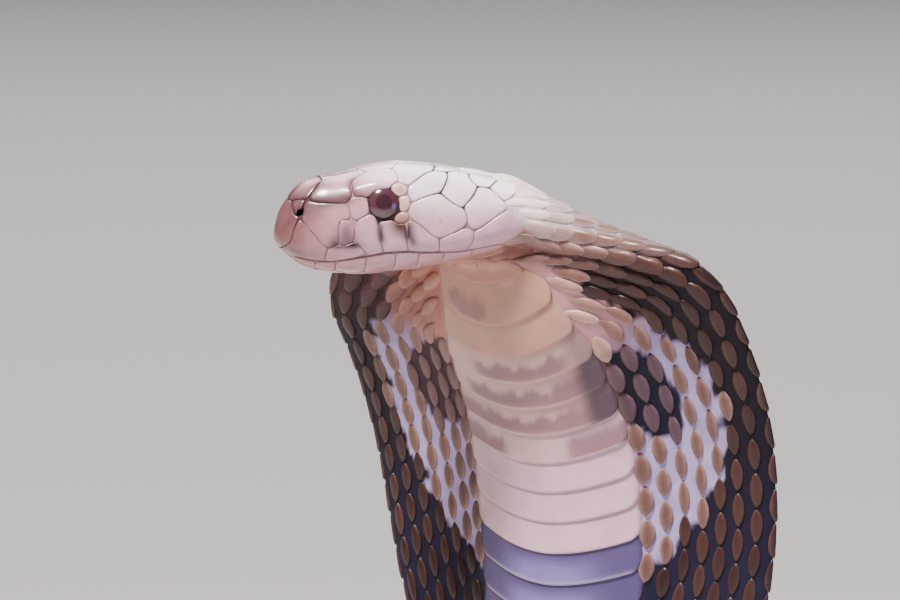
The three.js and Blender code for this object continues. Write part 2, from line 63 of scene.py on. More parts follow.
def smooth_table(rows):
    """A smooth line through the rows, position first, that never overshoots them."""
    rows = np.array(rows, float)
    x, v = rows[:, 0], rows[:, 1:]
    h = np.diff(x)
    step = np.diff(v, axis=0) / h[:, None]
    slope = np.zeros_like(v)
    slope[0], slope[-1] = step[0], step[-1]
    for k in range(1, len(x) - 1):
        a, b = step[k - 1], step[k]
        same = a * b > 0
        safe_a, safe_b = np.where(same, a, 1), np.where(same, b, 1)
        weights = (2 * h[k] + h[k - 1]) / safe_a + (h[k] + 2 * h[k - 1]) / safe_b
        slope[k] = np.where(same, 3 * (h[k - 1] + h[k]) / weights, 0)

    def read(s):
        s = np.asarray(s, float)
        i = np.clip(np.searchsorted(x, s, side="right") - 1, 0, len(x) - 2)
        t = np.clip((s - x[i]) / h[i], 0, 1)[..., None]
        step_length = h[i][..., None]
        value = ((2 * t**3 - 3 * t**2 + 1) * v[i] + (t**3 - 2 * t**2 + t) * step_length * slope[i]
                 + (3 * t**2 - 2 * t**3) * v[i + 1] + (t**3 - t**2) * step_length * slope[i + 1])
        return value[..., 0] if v.shape[1] == 1 else value

    return read


def ease(x, low, high):
    """0 up to low and 1 from high on, or the other way round where low is above high."""
    t = np.clip((x - low) / (high - low), 0, 1)
    return t * t * (3 - 2 * t)


def from_tip(d):
    """The tables of the head run on this measure, which opens up its round snout."""
    return np.sqrt(np.maximum(HEAD_LENGTH - np.asarray(d, float), 0))


# the body's half width, the depth of its two sides, and how far the hood is spread, along the spine
half_width = smooth_table([
    (0, 15), (3, 19), (6, 26.5), (9, 31.5), (12, 35.5), (16, 39.8), (22, 44.2), (30, 46.5),
    (48, 46.8), (65, 45.8), (82, 43.2), (98, 38), (114, 31), (130, 24), (146, 18.4), (165, 15.4),
    (190, 14.8), (240, 16.2), (300, 17.6), (420, 18.4), (650, 19.2), (850, 18.2), (1020, 15),
    (1130, 11), (1180, 9), (1250, 6.5), (1300, 3.9), (1338, 0.7)])
belly_depth = smooth_table([
    (0, 8), (12, 9), (30, 10.5), (60, 10.5), (115, 10), (145, 11), (180, 12.8), (240, 14.8),
    (300, 16), (420, 16.5), (650, 17.4), (850, 16.4), (1020, 13.6), (1130, 10.4), (1180, 8.5),
    (1250, 6.1), (1300, 3.8), (1338, 0.7)])
back_depth = smooth_table([
    (0, 9), (6, 10), (14, 9), (30, 8), (60, 8), (115, 8.5), (145, 10), (180, 12.5), (240, 14.6),
    (300, 16), (420, 16.5), (650, 17.6), (850, 16.6), (1020, 13.8), (1130, 10.4), (1180, 8.5),
    (1250, 6.1), (1300, 3.8), (1338, 0.7)])
spread = smooth_table([(0, 0), (8, 0.4), (20, 1), (98, 1), (135, 0.5), (165, 0), (1338, 0)])
rake = smooth_table([(0, 1), (10, 5), (16, 6), (24, 5.5), (40, 5), (90, 5), (135, 2), (165, 0),
                     (1338, 0)])
strip_half = smooth_table([
    (0, 9), (16, 12), (30, 16), (60, 17.8), (90, 17), (130, 14), (165, 11.5), (300, 12.5),
    (650, 14.5), (1000, 11.5), (1130, 8.5), (1250, 5), (1338, 0.6)])
# which way the back faces: backward in the hood, up on the floor
backward = smooth_table([
    (0, 0, 0, 1), (5, 0.25, 0.5, 0.8), (10, 0.1, 0.95, 0.35), (16, 0, 1, 0.05), (230, 0, 1, 0),
    (285, 0, 0.7, 0.7), (325, 0, 0, 1), (1338, 0, 0, 1)])


def head_table(rows):
    """A table of the head, by distance in front of the joint."""
    return smooth_table([(float(from_tip(d)), v) for d, v in rows])


head_top = head_table([
    (42.2, 2.4), (41.9, 4), (41.3, 5.6), (40.3, 7.7), (39, 9.3), (37.8, 10.6), (36.5, 11.6),
    (35, 12.3), (33, 12.7), (29.5, 12.7), (26, 13), (22.8, 13.3), (18.9, 13.3), (13.5, 12.4),
    (10, 11.5), (5.8, 10.2), (1.9, 8.8), (-1.5, 7.6), (-6, 6)])
head_chin = head_table([
    (42.2, 2.4), (41.9, 1.3), (41.3, 0.1), (40.3, -1.2), (39, -2.6), (37.5, -3.6), (35.4, -4.5),
    (31.6, -5.4), (27.7, -6.2), (24.4, -6.5), (17.5, -6.7), (11.7, -6.4), (7.2, -6), (-2, -5.4),
    (-6, -5)])
head_cheek = head_table([
    (42.2, 0), (41.9, 2.7), (41.3, 4.2), (40.3, 5.4), (39, 6.2), (37.8, 6.7), (36.5, 7.1),
    (35, 7.5), (33, 8), (29.5, 8.6), (26, 9.1), (22.8, 9.6), (18.9, 10.7), (13.5, 12.2),
    (10, 12.9), (5.8, 13.4), (1.9, 13.5), (-1.5, 13.2), (-6, 13.5)])
head_level = head_table([
    (42.2, 2.4), (40, 2), (37, 1.6), (30, 1.2), (22, 1), (14, 0.6), (6, 0.2), (-2, 0.6),
    (-6, 0.8)])
head_square = head_table([
    (42.2, 2), (38, 2.3), (32, 2.7), (24, 3), (18, 2.8), (10, 2.5), (0, 2.3), (-6, 2.2)])
mouth_level = head_table([
    (42.2, -0.1), (40.5, -0.4), (36.2, -1.9), (33.3, -2.4), (27.7, -2.2), (22.5, -2),
    (14.3, -3), (9, -3.5), (2.8, -3.2), (-1, -3.3), (-6, -3.3)])
BROW = {"d": 23.4, "angle": 46, "long": 4, "wide": 9, "out": 0.75, "side": 0.92, "up": 0.38}
EYE_OUTLINE = {"d": 22.8, "angle": 68, "r": 2.85}
NOSTRIL = {"d": 37.9, "angle": 49, "r": 0.85, "deep": 1.3, "per_radian": 8, "hole": (0.6, 1.15)}
HOOD_HALF = 46
NECK_BEHIND = 1.5
THROAT_REACH = 13
NECK_LEAVE = np.array([0.45, 0.5, -0.6])
NECK_FLARE = 0.35

FORWARD = np.array([-math.sin(HEAD_YAW) * math.cos(HEAD_PITCH),
                    -math.cos(HEAD_YAW) * math.cos(HEAD_PITCH), -math.sin(HEAD_PITCH)])
LEFT = np.array([math.cos(HEAD_YAW), -math.sin(HEAD_YAW), 0.0])
UP = np.cross(FORWARD, LEFT)


def spine_line():
    """Length along the spine and the points there, through the rise and the coil."""
    points = [np.array(p, float) + JOINT for p in RISE]
    angle = 0
    while angle < COIL["turn"]:
        a = math.radians(angle)
        r = COIL["r"] + COIL["grow"] * a
        points.append(np.array([JOINT[0] + COIL["x"] + COIL["wide"] * r * math.cos(a),
                                JOINT[1] + COIL["y"] + COIL["deep"] * r * math.sin(a), COIL["level"]]))
        angle += COIL["first_step"] if angle < 180 else COIL["step"]
    points = [2 * points[0] - points[1]] + points + [2 * points[-1] - points[-2]]
    line = []
    for i in range(len(points) - 3):
        for t in np.arange(SPINE_STEPS) / SPINE_STEPS:
            weights = ((1 - t) ** 3, 3 * t**3 - 6 * t**2 + 4, -3 * t**3 + 3 * t**2 + 3 * t + 1, t**3)
            line.append(sum(w * p for w, p in zip(weights, points[i:i + 4])) / 6)
    line = np.array(line)
    steps = np.linalg.norm(np.diff(line, axis=0), axis=1)
    return np.concatenate([[0], np.cumsum(steps)]), line


spine_length, spine_points = spine_line()


def unit(v):
    """A direction of length one."""
    return v / np.maximum(np.linalg.norm(v, axis=-1, keepdims=True), 1e-12)


def spine(s):
    """A point of the spine, which on the floor lies as high as the belly is deep."""
    s = np.asarray(s, float)
    p = np.stack([np.interp(s, spine_length, spine_points[:, j]) for j in range(3)], -1)
    lift = (belly_depth(s) - SINK - p[..., 2]) * ease(s, FLOOR_FROM, FLOOR_FROM + 50)
    p[..., 2] += lift
    return p - FORWARD * np.minimum(s, 0)[..., None]


def body_point(s, angle):
    """A point of the skin: angle 0 is the middle of the back, 90 degrees the animal's left."""
    along = unit(spine(s + 1) - spine(s - 1))
    near = (1 - ease(s, 0, 4))[..., None]
    back = backward(np.maximum(s, 0)) * (1 - near) + UP * near
    back = unit(back - along * (back * along).sum(-1, keepdims=True))
    side = np.cross(along, back)
    a = half_width(s)
    flat = spread(s)
    down = np.cos(angle) < 0
    u = np.abs(np.sin(angle))
    core = np.where(down, belly_depth(s), back_depth(s))
    edge = core * (1 - flat) + HOOD_EDGE * flat
    bulge = np.exp(-((u / np.where(down, *STRIP_CORE)) ** 2.5))
    depth = (edge + (core - edge) * bulge) * np.sqrt(np.maximum(0, 1 - u ** (2 + 4 * flat)))
    q = a * np.sin(angle)
    p = (spine(s) + side * q[..., None] + back * (np.where(down, -1, 1) * depth)[..., None]
         - along * (rake(s) * (np.abs(q) / HOOD_HALF) ** 1.4)[..., None])
    p[..., 2] = np.maximum(p[..., 2], 0)
    return p


def head_section(d, angle):
    """Sideways and upward places of the head's section, with its widest line between the two."""
    t = from_tip(d)
    top, chin = head_top(t), head_chin(t)
    level = np.clip(head_level(t), chin + 0.3 * (top - chin), top)
    c, s = np.cos(angle), np.sin(angle)
    power = 2 / np.where(c >= 0, head_square(t), 2.15)
    y = head_cheek(t) * np.sign(s) * np.abs(s) ** power
    z = level + np.where(c >= 0, top - level, level - chin) * np.sign(c) * np.abs(c) ** power
    return y, z


def head_point(d, angle):
    """A point of the head in the row frame, with the brow that stands out above the eye."""
    y, z = head_section(d, angle)
    off = np.degrees(np.abs(angle)) - BROW["angle"]
    out = BROW["out"] * np.exp(-((d - BROW["d"]) / BROW["long"]) ** 2 - (off / BROW["wide"]) ** 2)
    y = y + BROW["side"] * out * np.sign(angle)
    z = z + BROW["up"] * out
    return (JOINT + FORWARD * np.asarray(d, float)[..., None] + LEFT * y[..., None]
            + UP * z[..., None])


def neck_edge(angle):
    """How far in front of the joint the neck begins: under the jaws it reaches the throat."""
    return THROAT_REACH * ease(-np.cos(angle), 0.7, 1) - NECK_BEHIND


def skin_point(s, angle):
    """The skin's surface from the snout, where s is below 0, to the tail."""
    s, angle = (np.array(v, float) for v in np.broadcast_arrays(s, angle))
    p = body_point(np.maximum(s, NECK_BLEND), angle)
    near = (s < NECK_BLEND) & (s >= 0)
    a = angle[near]
    start = head_point(neck_edge(a), a)
    end = body_point(np.full_like(a, NECK_BLEND), a)
    after = (body_point(np.full_like(a, NECK_BLEND + 0.5), a) - end) * NECK_BLEND / 0.5
    c = np.cos(a)[:, None]
    leave = unit(-FORWARD * (0.5 + 0.5 * c) + NECK_LEAVE * (0.5 - 0.5 * c)
                 + LEFT * np.sin(a)[:, None] * NECK_FLARE)
    leave *= np.linalg.norm(end - start, axis=-1, keepdims=True) * (0.55 + 0.45 * c) * 1.1
    t = (s[near] / NECK_BLEND)[:, None]
    p[near] = ((2 * t**3 - 3 * t**2 + 1) * start + (t**3 - 2 * t**2 + t) * leave
               + (3 * t**2 - 2 * t**3) * end + (t**3 - t**2) * after)
    ahead = s < 0
    p[ahead] = head_point(neck_edge(angle[ahead]) - s[ahead], angle[ahead])
    return p


def skin_normal(s, angle):
    """The way out of the skin."""
    across = skin_point(s, angle + 0.008) - skin_point(s, angle - 0.008)
    along = skin_point(s + 0.2, angle) - skin_point(s - 0.2, angle)
    return unit(np.cross(across, along))


def on_skin(s, angle, height):
    """A point that stands off the skin, and never under the floor."""
    p = skin_point(s, angle) + skin_normal(s, angle) * np.asarray(height)[..., None]
    p[..., 2] = np.maximum(p[..., 2], 0)
    return p


def colour(code):
    """An sRGB hex value as linear light."""
    c = np.array([int(code[i:i + 2], 16) / 255 for i in (1, 3, 5)])
    return np.where(c <= 0.04045, c / 12.92, ((c + 0.055) / 1.055) ** 2.4)


def blend(a, b, t):
    """From one tone to another, point by point."""
    t = np.asarray(t)[..., None]
    return a * (1 - t) + b * t


def blob(x, y, x0, y0, wide, deep, power=2):
    """1 inside an oval patch, falling softly to 0 round its edge."""
    r = np.abs((x - x0) / wide) ** power + np.abs((y - y0) / deep) ** power
    return 1 - ease(r, 0.72, 1.28)


# outlines on the front of the hood: length from the head and distance from its middle
SPOT_LEFT = [(29, 14), (29.8, 18), (32.2, 24.5), (36.5, 28), (41.6, 29.6), (47, 29.9), (50.2, 27.5),
             (50, 23), (46.5, 19), (45, 15), (40, 12), (34, 12)]
SPOT_RIGHT = [(24.5, 12), (27, 19), (29, 23.5), (32.4, 29), (38, 31.4), (44.8, 31.8), (49.4, 28),
              (48.4, 22), (46, 17.5), (41, 14), (33, 10)]
net_outer_left = smooth_table([
    (8, 15), (14, 17), (20.4, 21), (28, 29), (36.8, 36.3), (44.8, 38.3), (54, 37), (61.2, 33.5),
    (68.4, 28), (73.6, 22.5), (79, 16), (90, 6)])
net_outer_right = smooth_table([
    (8, 16), (14, 21), (20, 28), (26, 34), (33, 38), (44, 38.6), (56, 37.5), (64, 33.5), (70, 30),
    (76, 22), (82, 15), (92, 6)])


def inside(x, y, corners, soft):
    """1 inside a closed outline, falling to 0 within a soft edge."""
    corners = np.array(corners, float)
    nearest = np.full(np.shape(x), 1e9)
    odd = np.zeros(np.shape(x), bool)
    for (x0, y0), (x1, y1) in zip(corners, np.roll(corners, -1, 0)):
        along = ((x - x0) * (x1 - x0) + (y - y0) * (y1 - y0)) / ((x1 - x0) ** 2 + (y1 - y0) ** 2)
        along = np.clip(along, 0, 1)
        nearest = np.minimum(nearest, np.hypot(x - x0 - along * (x1 - x0), y - y0 - along * (y1 - y0)))
        crosses = (y0 > y) != (y1 > y)
        odd ^= crosses & (x < x0 + (y - y0) * (x1 - x0) / (y1 - y0 + 1e-12))
    return ease(np.where(odd, nearest, -nearest), -soft, soft)


def hood_marks(s, angle):
    """The hood's markings at a place: the share of dark spot, pale net and monocle there."""
    q = half_width(np.maximum(s, 0)) * np.sin(angle)
    left = q > 0
    q = np.abs(q)
    below = ease(-np.cos(angle), -0.02, 0.06)
    ragged = 1.1 * np.sin(s * 0.98 + 0.6 * np.sin(q * 0.7)) + 0.7 * np.sin(q * 1.5 + s * 0.4)
    spot = np.where(left, inside(s + 0.4 * ragged, q + 0.4 * ragged, SPOT_LEFT, 0.5),
                    inside(s + 0.4 * ragged, q + 0.4 * ragged, SPOT_RIGHT, 0.5)) * below
    outer = np.where(left, net_outer_left(s), net_outer_right(s))
    net = ease(outer - q + ragged, -0.5, 0.5) * below * ease(s, 4, 12)
    back_side = 1 - ease(-np.cos(angle), -0.1, 0.0)
    ring = blob(q, s, 0, 50, 19, 14) * back_side
    heart = blob(q, s, 0, 50, 11, 8) * back_side
    return spot, net * (1 - spot), ring * (1 - heart)


PALE_NET = colour("#aa9dce")
NIGHT = colour("#100a17")
THROAT = colour("#c2917f")


def head_shadow_rose(tone, s, q, left, below):
    """Painted head shadow high on the hood's right: scales and skin sink into one dull rose, darker
    outwards.
    """
    rose = blend(colour("#a86f61") + 0 * tone, colour("#3d242b"), ease(q, 15, 31))
    return blend(tone, rose, (1 - left) * below * (1 - ease(s, 17, 31)) * ease(s, 2, 9) * 0.8)


# how far a degree round the head goes beside the eye
MM_PER_DEGREE = 0.17


def skin_tone(s, angle):
    """The colour of the bare skin at a place."""
    d = neck_edge(angle) - s
    spot, net, ring = hood_marks(s, angle)
    q = half_width(np.maximum(s, 0)) * np.sin(angle)
    left = ease(q, -4, 4)
    q = np.abs(q)
    tone = np.broadcast_to(NIGHT, s.shape + (3,)).copy()
    tone = blend(tone, colour("#191833"), ease(s, 40, 90))
    warm = blend(colour("#b8837a") + 0 * tone, colour("#c9949a"), left)
    tone = blend(tone, warm, net * (1 - ease(s + 0.5 * q, 34, 50)))
    tone = blend(tone, PALE_NET, net * ease(s + 0.5 * q, 34, 50))
    tone = blend(tone, colour("#9c8468"), ring * 0.8)
    side_spot = blend(colour("#3a2631") + 0 * tone, colour("#0d1026"), left)
    tone = blend(tone, side_spot, spot)
    # painted shadow of the head over the upper right of the hood
    tone = head_shadow_rose(tone, s, q, left, ease(-np.cos(angle), 0.0, 0.12))
    edge = strip_half(np.maximum(s, 0))
    strip = (1 - ease(q, edge, edge + 2)) * ease(-np.cos(angle), 0.1, 0.4)
    tone = blend(tone, THROAT, strip * (1 - ease(s, 70, 74)))
    tone = blend(tone, colour("#3a2b33"), strip * ease(s, 70, 74))
    front = ease(-np.cos(angle), -0.15, 0.5)
    nape = (1 - ease(s + 0.1 * q, 6, 23)) * (1 - front)
    crown = blend(colour("#b5a6c6") + 0 * tone, colour("#dccfd9"), 1 - ease(s, -2, 6))
    tone = blend(tone, crown, nape * 0.9)
    # painted shadow of the head: the throat just behind the jaws is a darker peach
    throat = front * (1 - ease(s + 0.25 * q, 8, 19))
    tone = blend(tone, colour("#b98879"), throat)
    # in the seams between the shields of the head
    rear = 1 - ease(d, 12, 21)
    snout = ease(d, 27, 34)
    upper = ease(np.cos(angle), -0.15, 0.45)
    seam = blend(colour("#b08a8e") + 0 * tone, colour("#2e2038"), rear * upper)
    seam = blend(seam, colour("#3f2526"), snout * ease(np.cos(angle), 0.25, 0.5))
    # painted shade: the skin in the socket round the eye, under the overhanging brow, is darkened
    off = (np.degrees(np.abs(angle)) - EYE_OUTLINE["angle"]) * MM_PER_DEGREE
    socket = np.hypot(d - EYE_OUTLINE["d"], off)
    seam = blend(seam, colour("#2c1a1f"), (1 - ease(socket, 3.0, 3.6)) * (s < 0))
    return blend(tone, seam, 1 - ease(s, -6, 0))


def mouth_angle(d):
    """The angle at which the line of the mouth runs, from the top, on the head's section."""
    d = np.asarray(d, float)
    low = np.full(d.shape, math.radians(60))
    high = np.full(d.shape, math.radians(179))
    level = mouth_level(from_tip(d))
    for _ in range(40):
        middle = (low + high) / 2
        above = head_section(d, middle)[1] > level
        low = np.where(above, middle, low)
        high = np.where(above, high, middle)
    return low


def dress(mesh, tone, patch):
    """Give each point of a mesh its colour and its place on the bake map."""
    mesh.polygons.foreach_set("use_smooth", np.ones(len(mesh.polygons), dtype=bool))
    order = np.zeros(len(mesh.loops), dtype=np.int32)
    mesh.loops.foreach_get("vertex_index", order)
    layer = mesh.color_attributes.new("tone", "FLOAT_COLOR", "POINT")
    rgba = np.concatenate([tone, np.ones((len(tone), 1))], 1)
    layer.data.foreach_set("color", rgba.astype(np.float32).ravel())
    uv = mesh.uv_layers.new(name="OFBake")
    uv.data.foreach_set("uv", np.asarray(patch)[order].astype(np.float32).ravel())


def new_piece(name, points, faces, tone, patch):
    """A mesh piece from points in millimetres, with a colour and a place on the map per point."""
    mesh = bpy.data.meshes.new(name)
    sides = np.concatenate([np.full(len(f), f.shape[1]) for f in faces])
    corners = np.concatenate([f.ravel() for f in faces])
    mesh.vertices.add(len(points))
    mesh.vertices.foreach_set("co", (np.asarray(points) * 0.001).astype(np.float32).ravel())
    mesh.loops.add(len(corners))
    mesh.loops.foreach_set("vertex_index", corners.astype(np.int32))
    mesh.polygons.add(len(sides))
    starts = np.concatenate([[0], np.cumsum(sides)[:-1]])
    mesh.polygons.foreach_set("loop_start", starts.astype(np.int32))
    mesh.polygons.foreach_set("loop_total", sides.astype(np.int32))
    mesh.update(calc_edges=True)
    dress(mesh, tone, patch)
    piece = bpy.data.objects.new(name, mesh)
    bpy.context.scene.collection.objects.link(piece)
    return piece


def add_node(tree, kind, settings, links=()):
    """One node with its settings, by property or socket name, and its incoming links."""
    node = tree.nodes.new(kind)
    for key, value in settings.items():
        if key in node.inputs:
            node.inputs[key].default_value = value
        else:
            setattr(node, key, value)
    for key, source in dict(links).items():
        tree.links.new(source, node.inputs[key])
    return node


def scaly_material(name, rough, fine_mm, relief_mm, mottle, coat, shine):
    """Keratin over pigment: the piece's own tone, mottled, with a fine bump and a thin gloss."""
    material = bpy.data.materials.new(name)
    material.use_nodes = True
    tree = material.node_tree
    tree.nodes.clear()
    place = add_node(tree, "ShaderNodeTexCoord", {}).outputs["Object"]
    tone = add_node(tree, "ShaderNodeAttribute", {"attribute_name": "tone"}).outputs["Color"]
    cloudy = add_node(tree, "ShaderNodeTexNoise", {"Scale": 1000 / (fine_mm * 6), "Detail": 4.0},
                      {"Vector": place}).outputs["Fac"]
    grain = add_node(tree, "ShaderNodeTexNoise", {"Scale": 1000 / fine_mm, "Detail": 3.0},
                     {"Vector": place}).outputs["Fac"]
    value = add_node(tree, "ShaderNodeMapRange",
                     {"From Min": 0.3, "From Max": 0.7, "To Min": 1 - mottle, "To Max": 1 + mottle},
                     {"Value": cloudy}).outputs["Result"]
    shade = add_node(tree, "ShaderNodeHueSaturation", {}, {"Color": tone, "Value": value})
    gloss = add_node(tree, "ShaderNodeMapRange",
                     {"From Min": 0.3, "From Max": 0.7, "To Min": rough - 0.06, "To Max": rough + 0.08},
                     {"Value": grain}).outputs["Result"]
    bump = add_node(tree, "ShaderNodeBump", {"Strength": 0.6, "Distance": relief_mm / 1000},
                    {"Height": grain})
    skin = add_node(tree, "ShaderNodeBsdfPrincipled",
                    {"IOR": 1.5, "Specular IOR Level": shine, "Coat Weight": coat,
                     "Coat Roughness": 0.14},
                    {"Base Color": shade.outputs["Color"], "Roughness": gloss,
                     "Normal": bump.outputs["Normal"]})
    out = add_node(tree, "ShaderNodeOutputMaterial", {}, {"Surface": skin.outputs["BSDF"]})
    out.is_active_output = True
    return material


# a scale or shield has a patch of the map twice this wide, at its root's place on the skin's
PATCH_HALF = 0.0015


def unwrap(s, angle):
    """Where a place of the skin lies on its own flat map: round the body across, length up."""
    return np.stack([0.5 + np.asarray(angle) / (2 * math.pi) * 0.98,
                     (np.asarray(s) + HEAD_LENGTH + 15) / (BODY_LENGTH + HEAD_LENGTH + 20)], -1)


LAT_STEP = 3.0
LAT_START = -15.0
LAT_COUNT = 121


def strip_edge(s):
    """The angle where the belly plates end and the rows of scales begin."""
    s = np.maximum(s, 0)
    return math.pi - np.arcsin(np.minimum(strip_half(s) / half_width(s), 0.95))


lattice_s = np.arange(LAT_START, BODY_LENGTH, LAT_STEP)
lattice_angle = strip_edge(lattice_s)[:, None] * np.linspace(0, 1, 241)
lattice_at = np.broadcast_to(lattice_s[:, None], lattice_angle.shape)
walk = skin_point(lattice_at, lattice_angle)
ahead = unit(skin_point(lattice_at + 0.5, lattice_angle) - skin_point(lattice_at - 0.5, lattice_angle))
# steps are measured square to the rows, which crowd a little on the front of the hood
steps = np.linalg.norm(np.cross(np.diff(walk, axis=1), ahead[:, 1:]), axis=2)
front = ease(-np.cos((lattice_angle[:, 1:] + lattice_angle[:, :-1]) / 2), -0.3, 0.3)
steps = steps * (1 + (0.3 * spread(np.maximum(lattice_s, 0)))[:, None] * front) + 1e-6
reach = np.concatenate([np.zeros((len(lattice_s), 1)), np.cumsum(steps, axis=1)], 1)
even_angle = []
for row_reach, row_turn in zip(reach, lattice_angle):
    side = np.interp(math.pi / 2, row_turn, row_reach)
    back_half = np.linspace(0, side, LAT_COUNT // 2 + 1)
    front_half = np.linspace(side, row_reach[-1], LAT_COUNT // 2 + 1)
    even_angle.append(np.interp(np.concatenate([back_half, front_half[1:]]), row_reach, row_turn))
even_angle = np.stack(even_angle)


def even_place(s, g):
    """The angle at a share of the way from the back, through the side at a half, to the plates."""
    g = np.clip(g, 0, 1.0) * (LAT_COUNT - 1)
    i = np.clip((s - LAT_START) / LAT_STEP, 0, len(lattice_s) - 1.001)
    i0, g0 = i.astype(int), np.clip(g.astype(int), 0, LAT_COUNT - 2)
    ti, tg = i - i0, g - g0
    low = even_angle[i0, g0] * (1 - tg) + even_angle[i0, g0 + 1] * tg
    high = even_angle[i0 + 1, g0] * (1 - tg) + even_angle[i0 + 1, g0 + 1] * tg
    return low * (1 - ti) + high * ti


UPPER_COLUMNS = 84
LOWER_COLUMNS = 16
LIP_STEP = math.radians(1.0)
HEAD_ROWS = 100
head_share = 1 - (np.arange(1, HEAD_ROWS) / HEAD_ROWS) ** 2
body_rows = np.concatenate([np.arange(0, 16, 1.0), np.arange(16, 110, 1.2),
                            np.arange(110, 170, 3.0), np.arange(170, 1336, 6.2), [1337.5]])


def column_angles(s, mouth):
    """Angles of the left side's columns, from the back to the belly, one on the mouth's line."""
    share = np.linspace(0, 1, UPPER_COLUMNS + 1) * np.ones_like(s)[:, None]
    on_head = share * (mouth - LIP_STEP)[:, None]
    at = np.broadcast_to(s[:, None], share.shape)
    on_body = even_place(at, share) * ((mouth - LIP_STEP) / strip_edge(s))[:, None]
    upper = on_head + (on_body - on_head) * ease(s, 0, NECK_BLEND)[:, None]
    low = (mouth + LIP_STEP)[:, None]
    lower = low + np.linspace(0, 1, LOWER_COLUMNS + 1) * (math.pi - low)
    return np.concatenate([upper, mouth[:, None], lower], 1)


head_d = (HEAD_LENGTH + NECK_BEHIND) * head_share - NECK_BEHIND
row_mouth = np.minimum(mouth_angle(head_d), math.radians(178.2))
neck_mouth = mouth_angle(np.array([-NECK_BEHIND]))[0]
body_mouth = neck_mouth + (strip_edge(body_rows) - neck_mouth) * ease(body_rows, 0, NECK_BLEND)
row_s = np.concatenate([np.full(len(row_mouth), -1.0), body_rows])
half_angles = column_angles(row_s, np.concatenate([row_mouth, body_mouth]))
angles = np.concatenate([half_angles, -half_angles[:, -2:0:-1]], 1)
rows, columns = angles.shape
edges = neck_edge(angles)
stations = np.empty_like(angles)
head_rows = len(row_mouth)
stations[:head_rows] = -(HEAD_LENGTH - edges[:head_rows]) * head_share[:, None]
stations[head_rows:] = body_rows[:, None]
SKIN_SINK = 0.12
GROOVE = 0.75
lip_columns = (UPPER_COLUMNS + 1, columns - UPPER_COLUMNS - 1)
depth = np.full(angles.shape, -SKIN_SINK)
in_front = edges - stations
lip_line = np.zeros_like(angles)
for column in lip_columns:
    ahead = in_front[:, column]
    lip_line[:, column] = ease(ahead, -1, 4) * (1 - ease(ahead, 40.4, 40.9)) * (stations[:, column] < 0)
depth -= GROOVE * lip_line
nostril_off = (np.abs(angles) - math.radians(NOSTRIL["angle"])) * NOSTRIL["per_radian"]
nostril_far = np.hypot(in_front - NOSTRIL["d"], nostril_off)
nostril_pit = np.exp(-((nostril_far / NOSTRIL["r"]) ** 4)) * (stations < 0)
depth -= NOSTRIL["deep"] * nostril_pit
points = on_skin(stations, angles, depth).reshape(-1, 3)
tone = skin_tone(stations, angles)
# painted shade: the nostril's pit is darkened almost to black, as the shade inside the hole
tone = blend(tone, colour("#180d10"), nostril_pit)
# painted shade along the groove of the mouth, a darker mauve-brown line
tone = blend(tone, colour("#74494d"), lip_line).reshape(-1, 3)
patch = unwrap(stations, angles).reshape(-1, 2)
points = np.concatenate([points, head_point(np.array([HEAD_LENGTH - 0.01]), np.array([0.0])),
                         spine(np.array([BODY_LENGTH]))])
tone = np.concatenate([tone, tone[:1], tone[-1:]])
patch = np.concatenate([patch, patch[:1], patch[-1:]])
grid = np.arange(rows * columns).reshape(rows, columns)
ring = np.roll(grid, -1, axis=1)
quads = np.stack([grid[:-1], ring[:-1], ring[1:], grid[1:]], -1).reshape(-1, 4)
snout = np.stack([grid[0], np.full(columns, rows * columns), ring[0]], -1)
tail_tip = np.stack([grid[-1], ring[-1], np.full(columns, rows * columns + 1)], -1)
skin = new_piece("skin", points, [quads, snout, tail_tip], tone, patch)
# bare reptile skin between scales: matt and soft, faintly creased, so little gloss
skin.data.materials.append(scaly_material("bare_skin", rough=0.6, fine_mm=0.7, relief_mm=0.14,
                                         mottle=0.16, coat=0.0, shine=0.22))
FLESH = ["head", "lower_jaw", "hood_upper", "hood_lower", "rise", "foot", "tail"]
FLESH += [f"coil_{k}" for k in range(1, 8)]
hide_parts(*FLESH)
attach(skin, "root")

# Head shields
# The head is cased in large smooth shields of keratin that meet at fine dark seams. Each is a
# thin curved plate with rounded edges, laid over the skin along the seams of a real head.
SEAM = 0.1
SHIELD_RISE = 0.15
SHIELD_DOME = 0.06
TIP_CHART = 4.4
OUTLINE_STEP = 0.36
SNAP_REACH = 1.5
MOST_SLANT = 0.5


def head_normal(d, angle):
    """The way out of the head."""
    across = head_point(d, angle + 0.008) - head_point(d, angle - 0.008)
    along = head_point(d - 0.06, angle) - head_point(d + 0.06, angle)
    return unit(np.cross(across, along))


def to_chart(d, a, polar, scale):
    """Places of the head on a flat chart, round the snout's tip where that is polar."""
    if polar:
        return np.stack([TIP_CHART * from_tip(d) * np.cos(a), TIP_CHART * from_tip(d) * np.sin(a)], 1)
    return np.stack([d, a * scale], 1)


def from_chart(flat, polar, scale):
    """Distance in front of the neck and angle of places on the chart."""
    if polar:
        return HEAD_LENGTH - (flat**2).sum(1) / TIP_CHART**2, np.arctan2(flat[:, 1], flat[:, 0])
    return flat[:, 0], flat[:, 1] / scale


def eased_path(path, passes):
    """A closed outline with its corners rounded."""
    for _ in range(passes):
        path = path * 0.5 + (np.roll(path, 1, 0) + np.roll(path, -1, 0)) * 0.25
    return path


def evenly(loop, count):
    """Points at even steps along a closed outline."""
    loop = np.vstack([loop, loop[:1]])
    length = np.concatenate([[0], np.cumsum(np.linalg.norm(np.diff(loop, axis=0), axis=1))])
    at = np.arange(count) / count * length[-1]
    return np.stack([np.interp(at, length, loop[:, j]) for j in (0, 1)], 1)


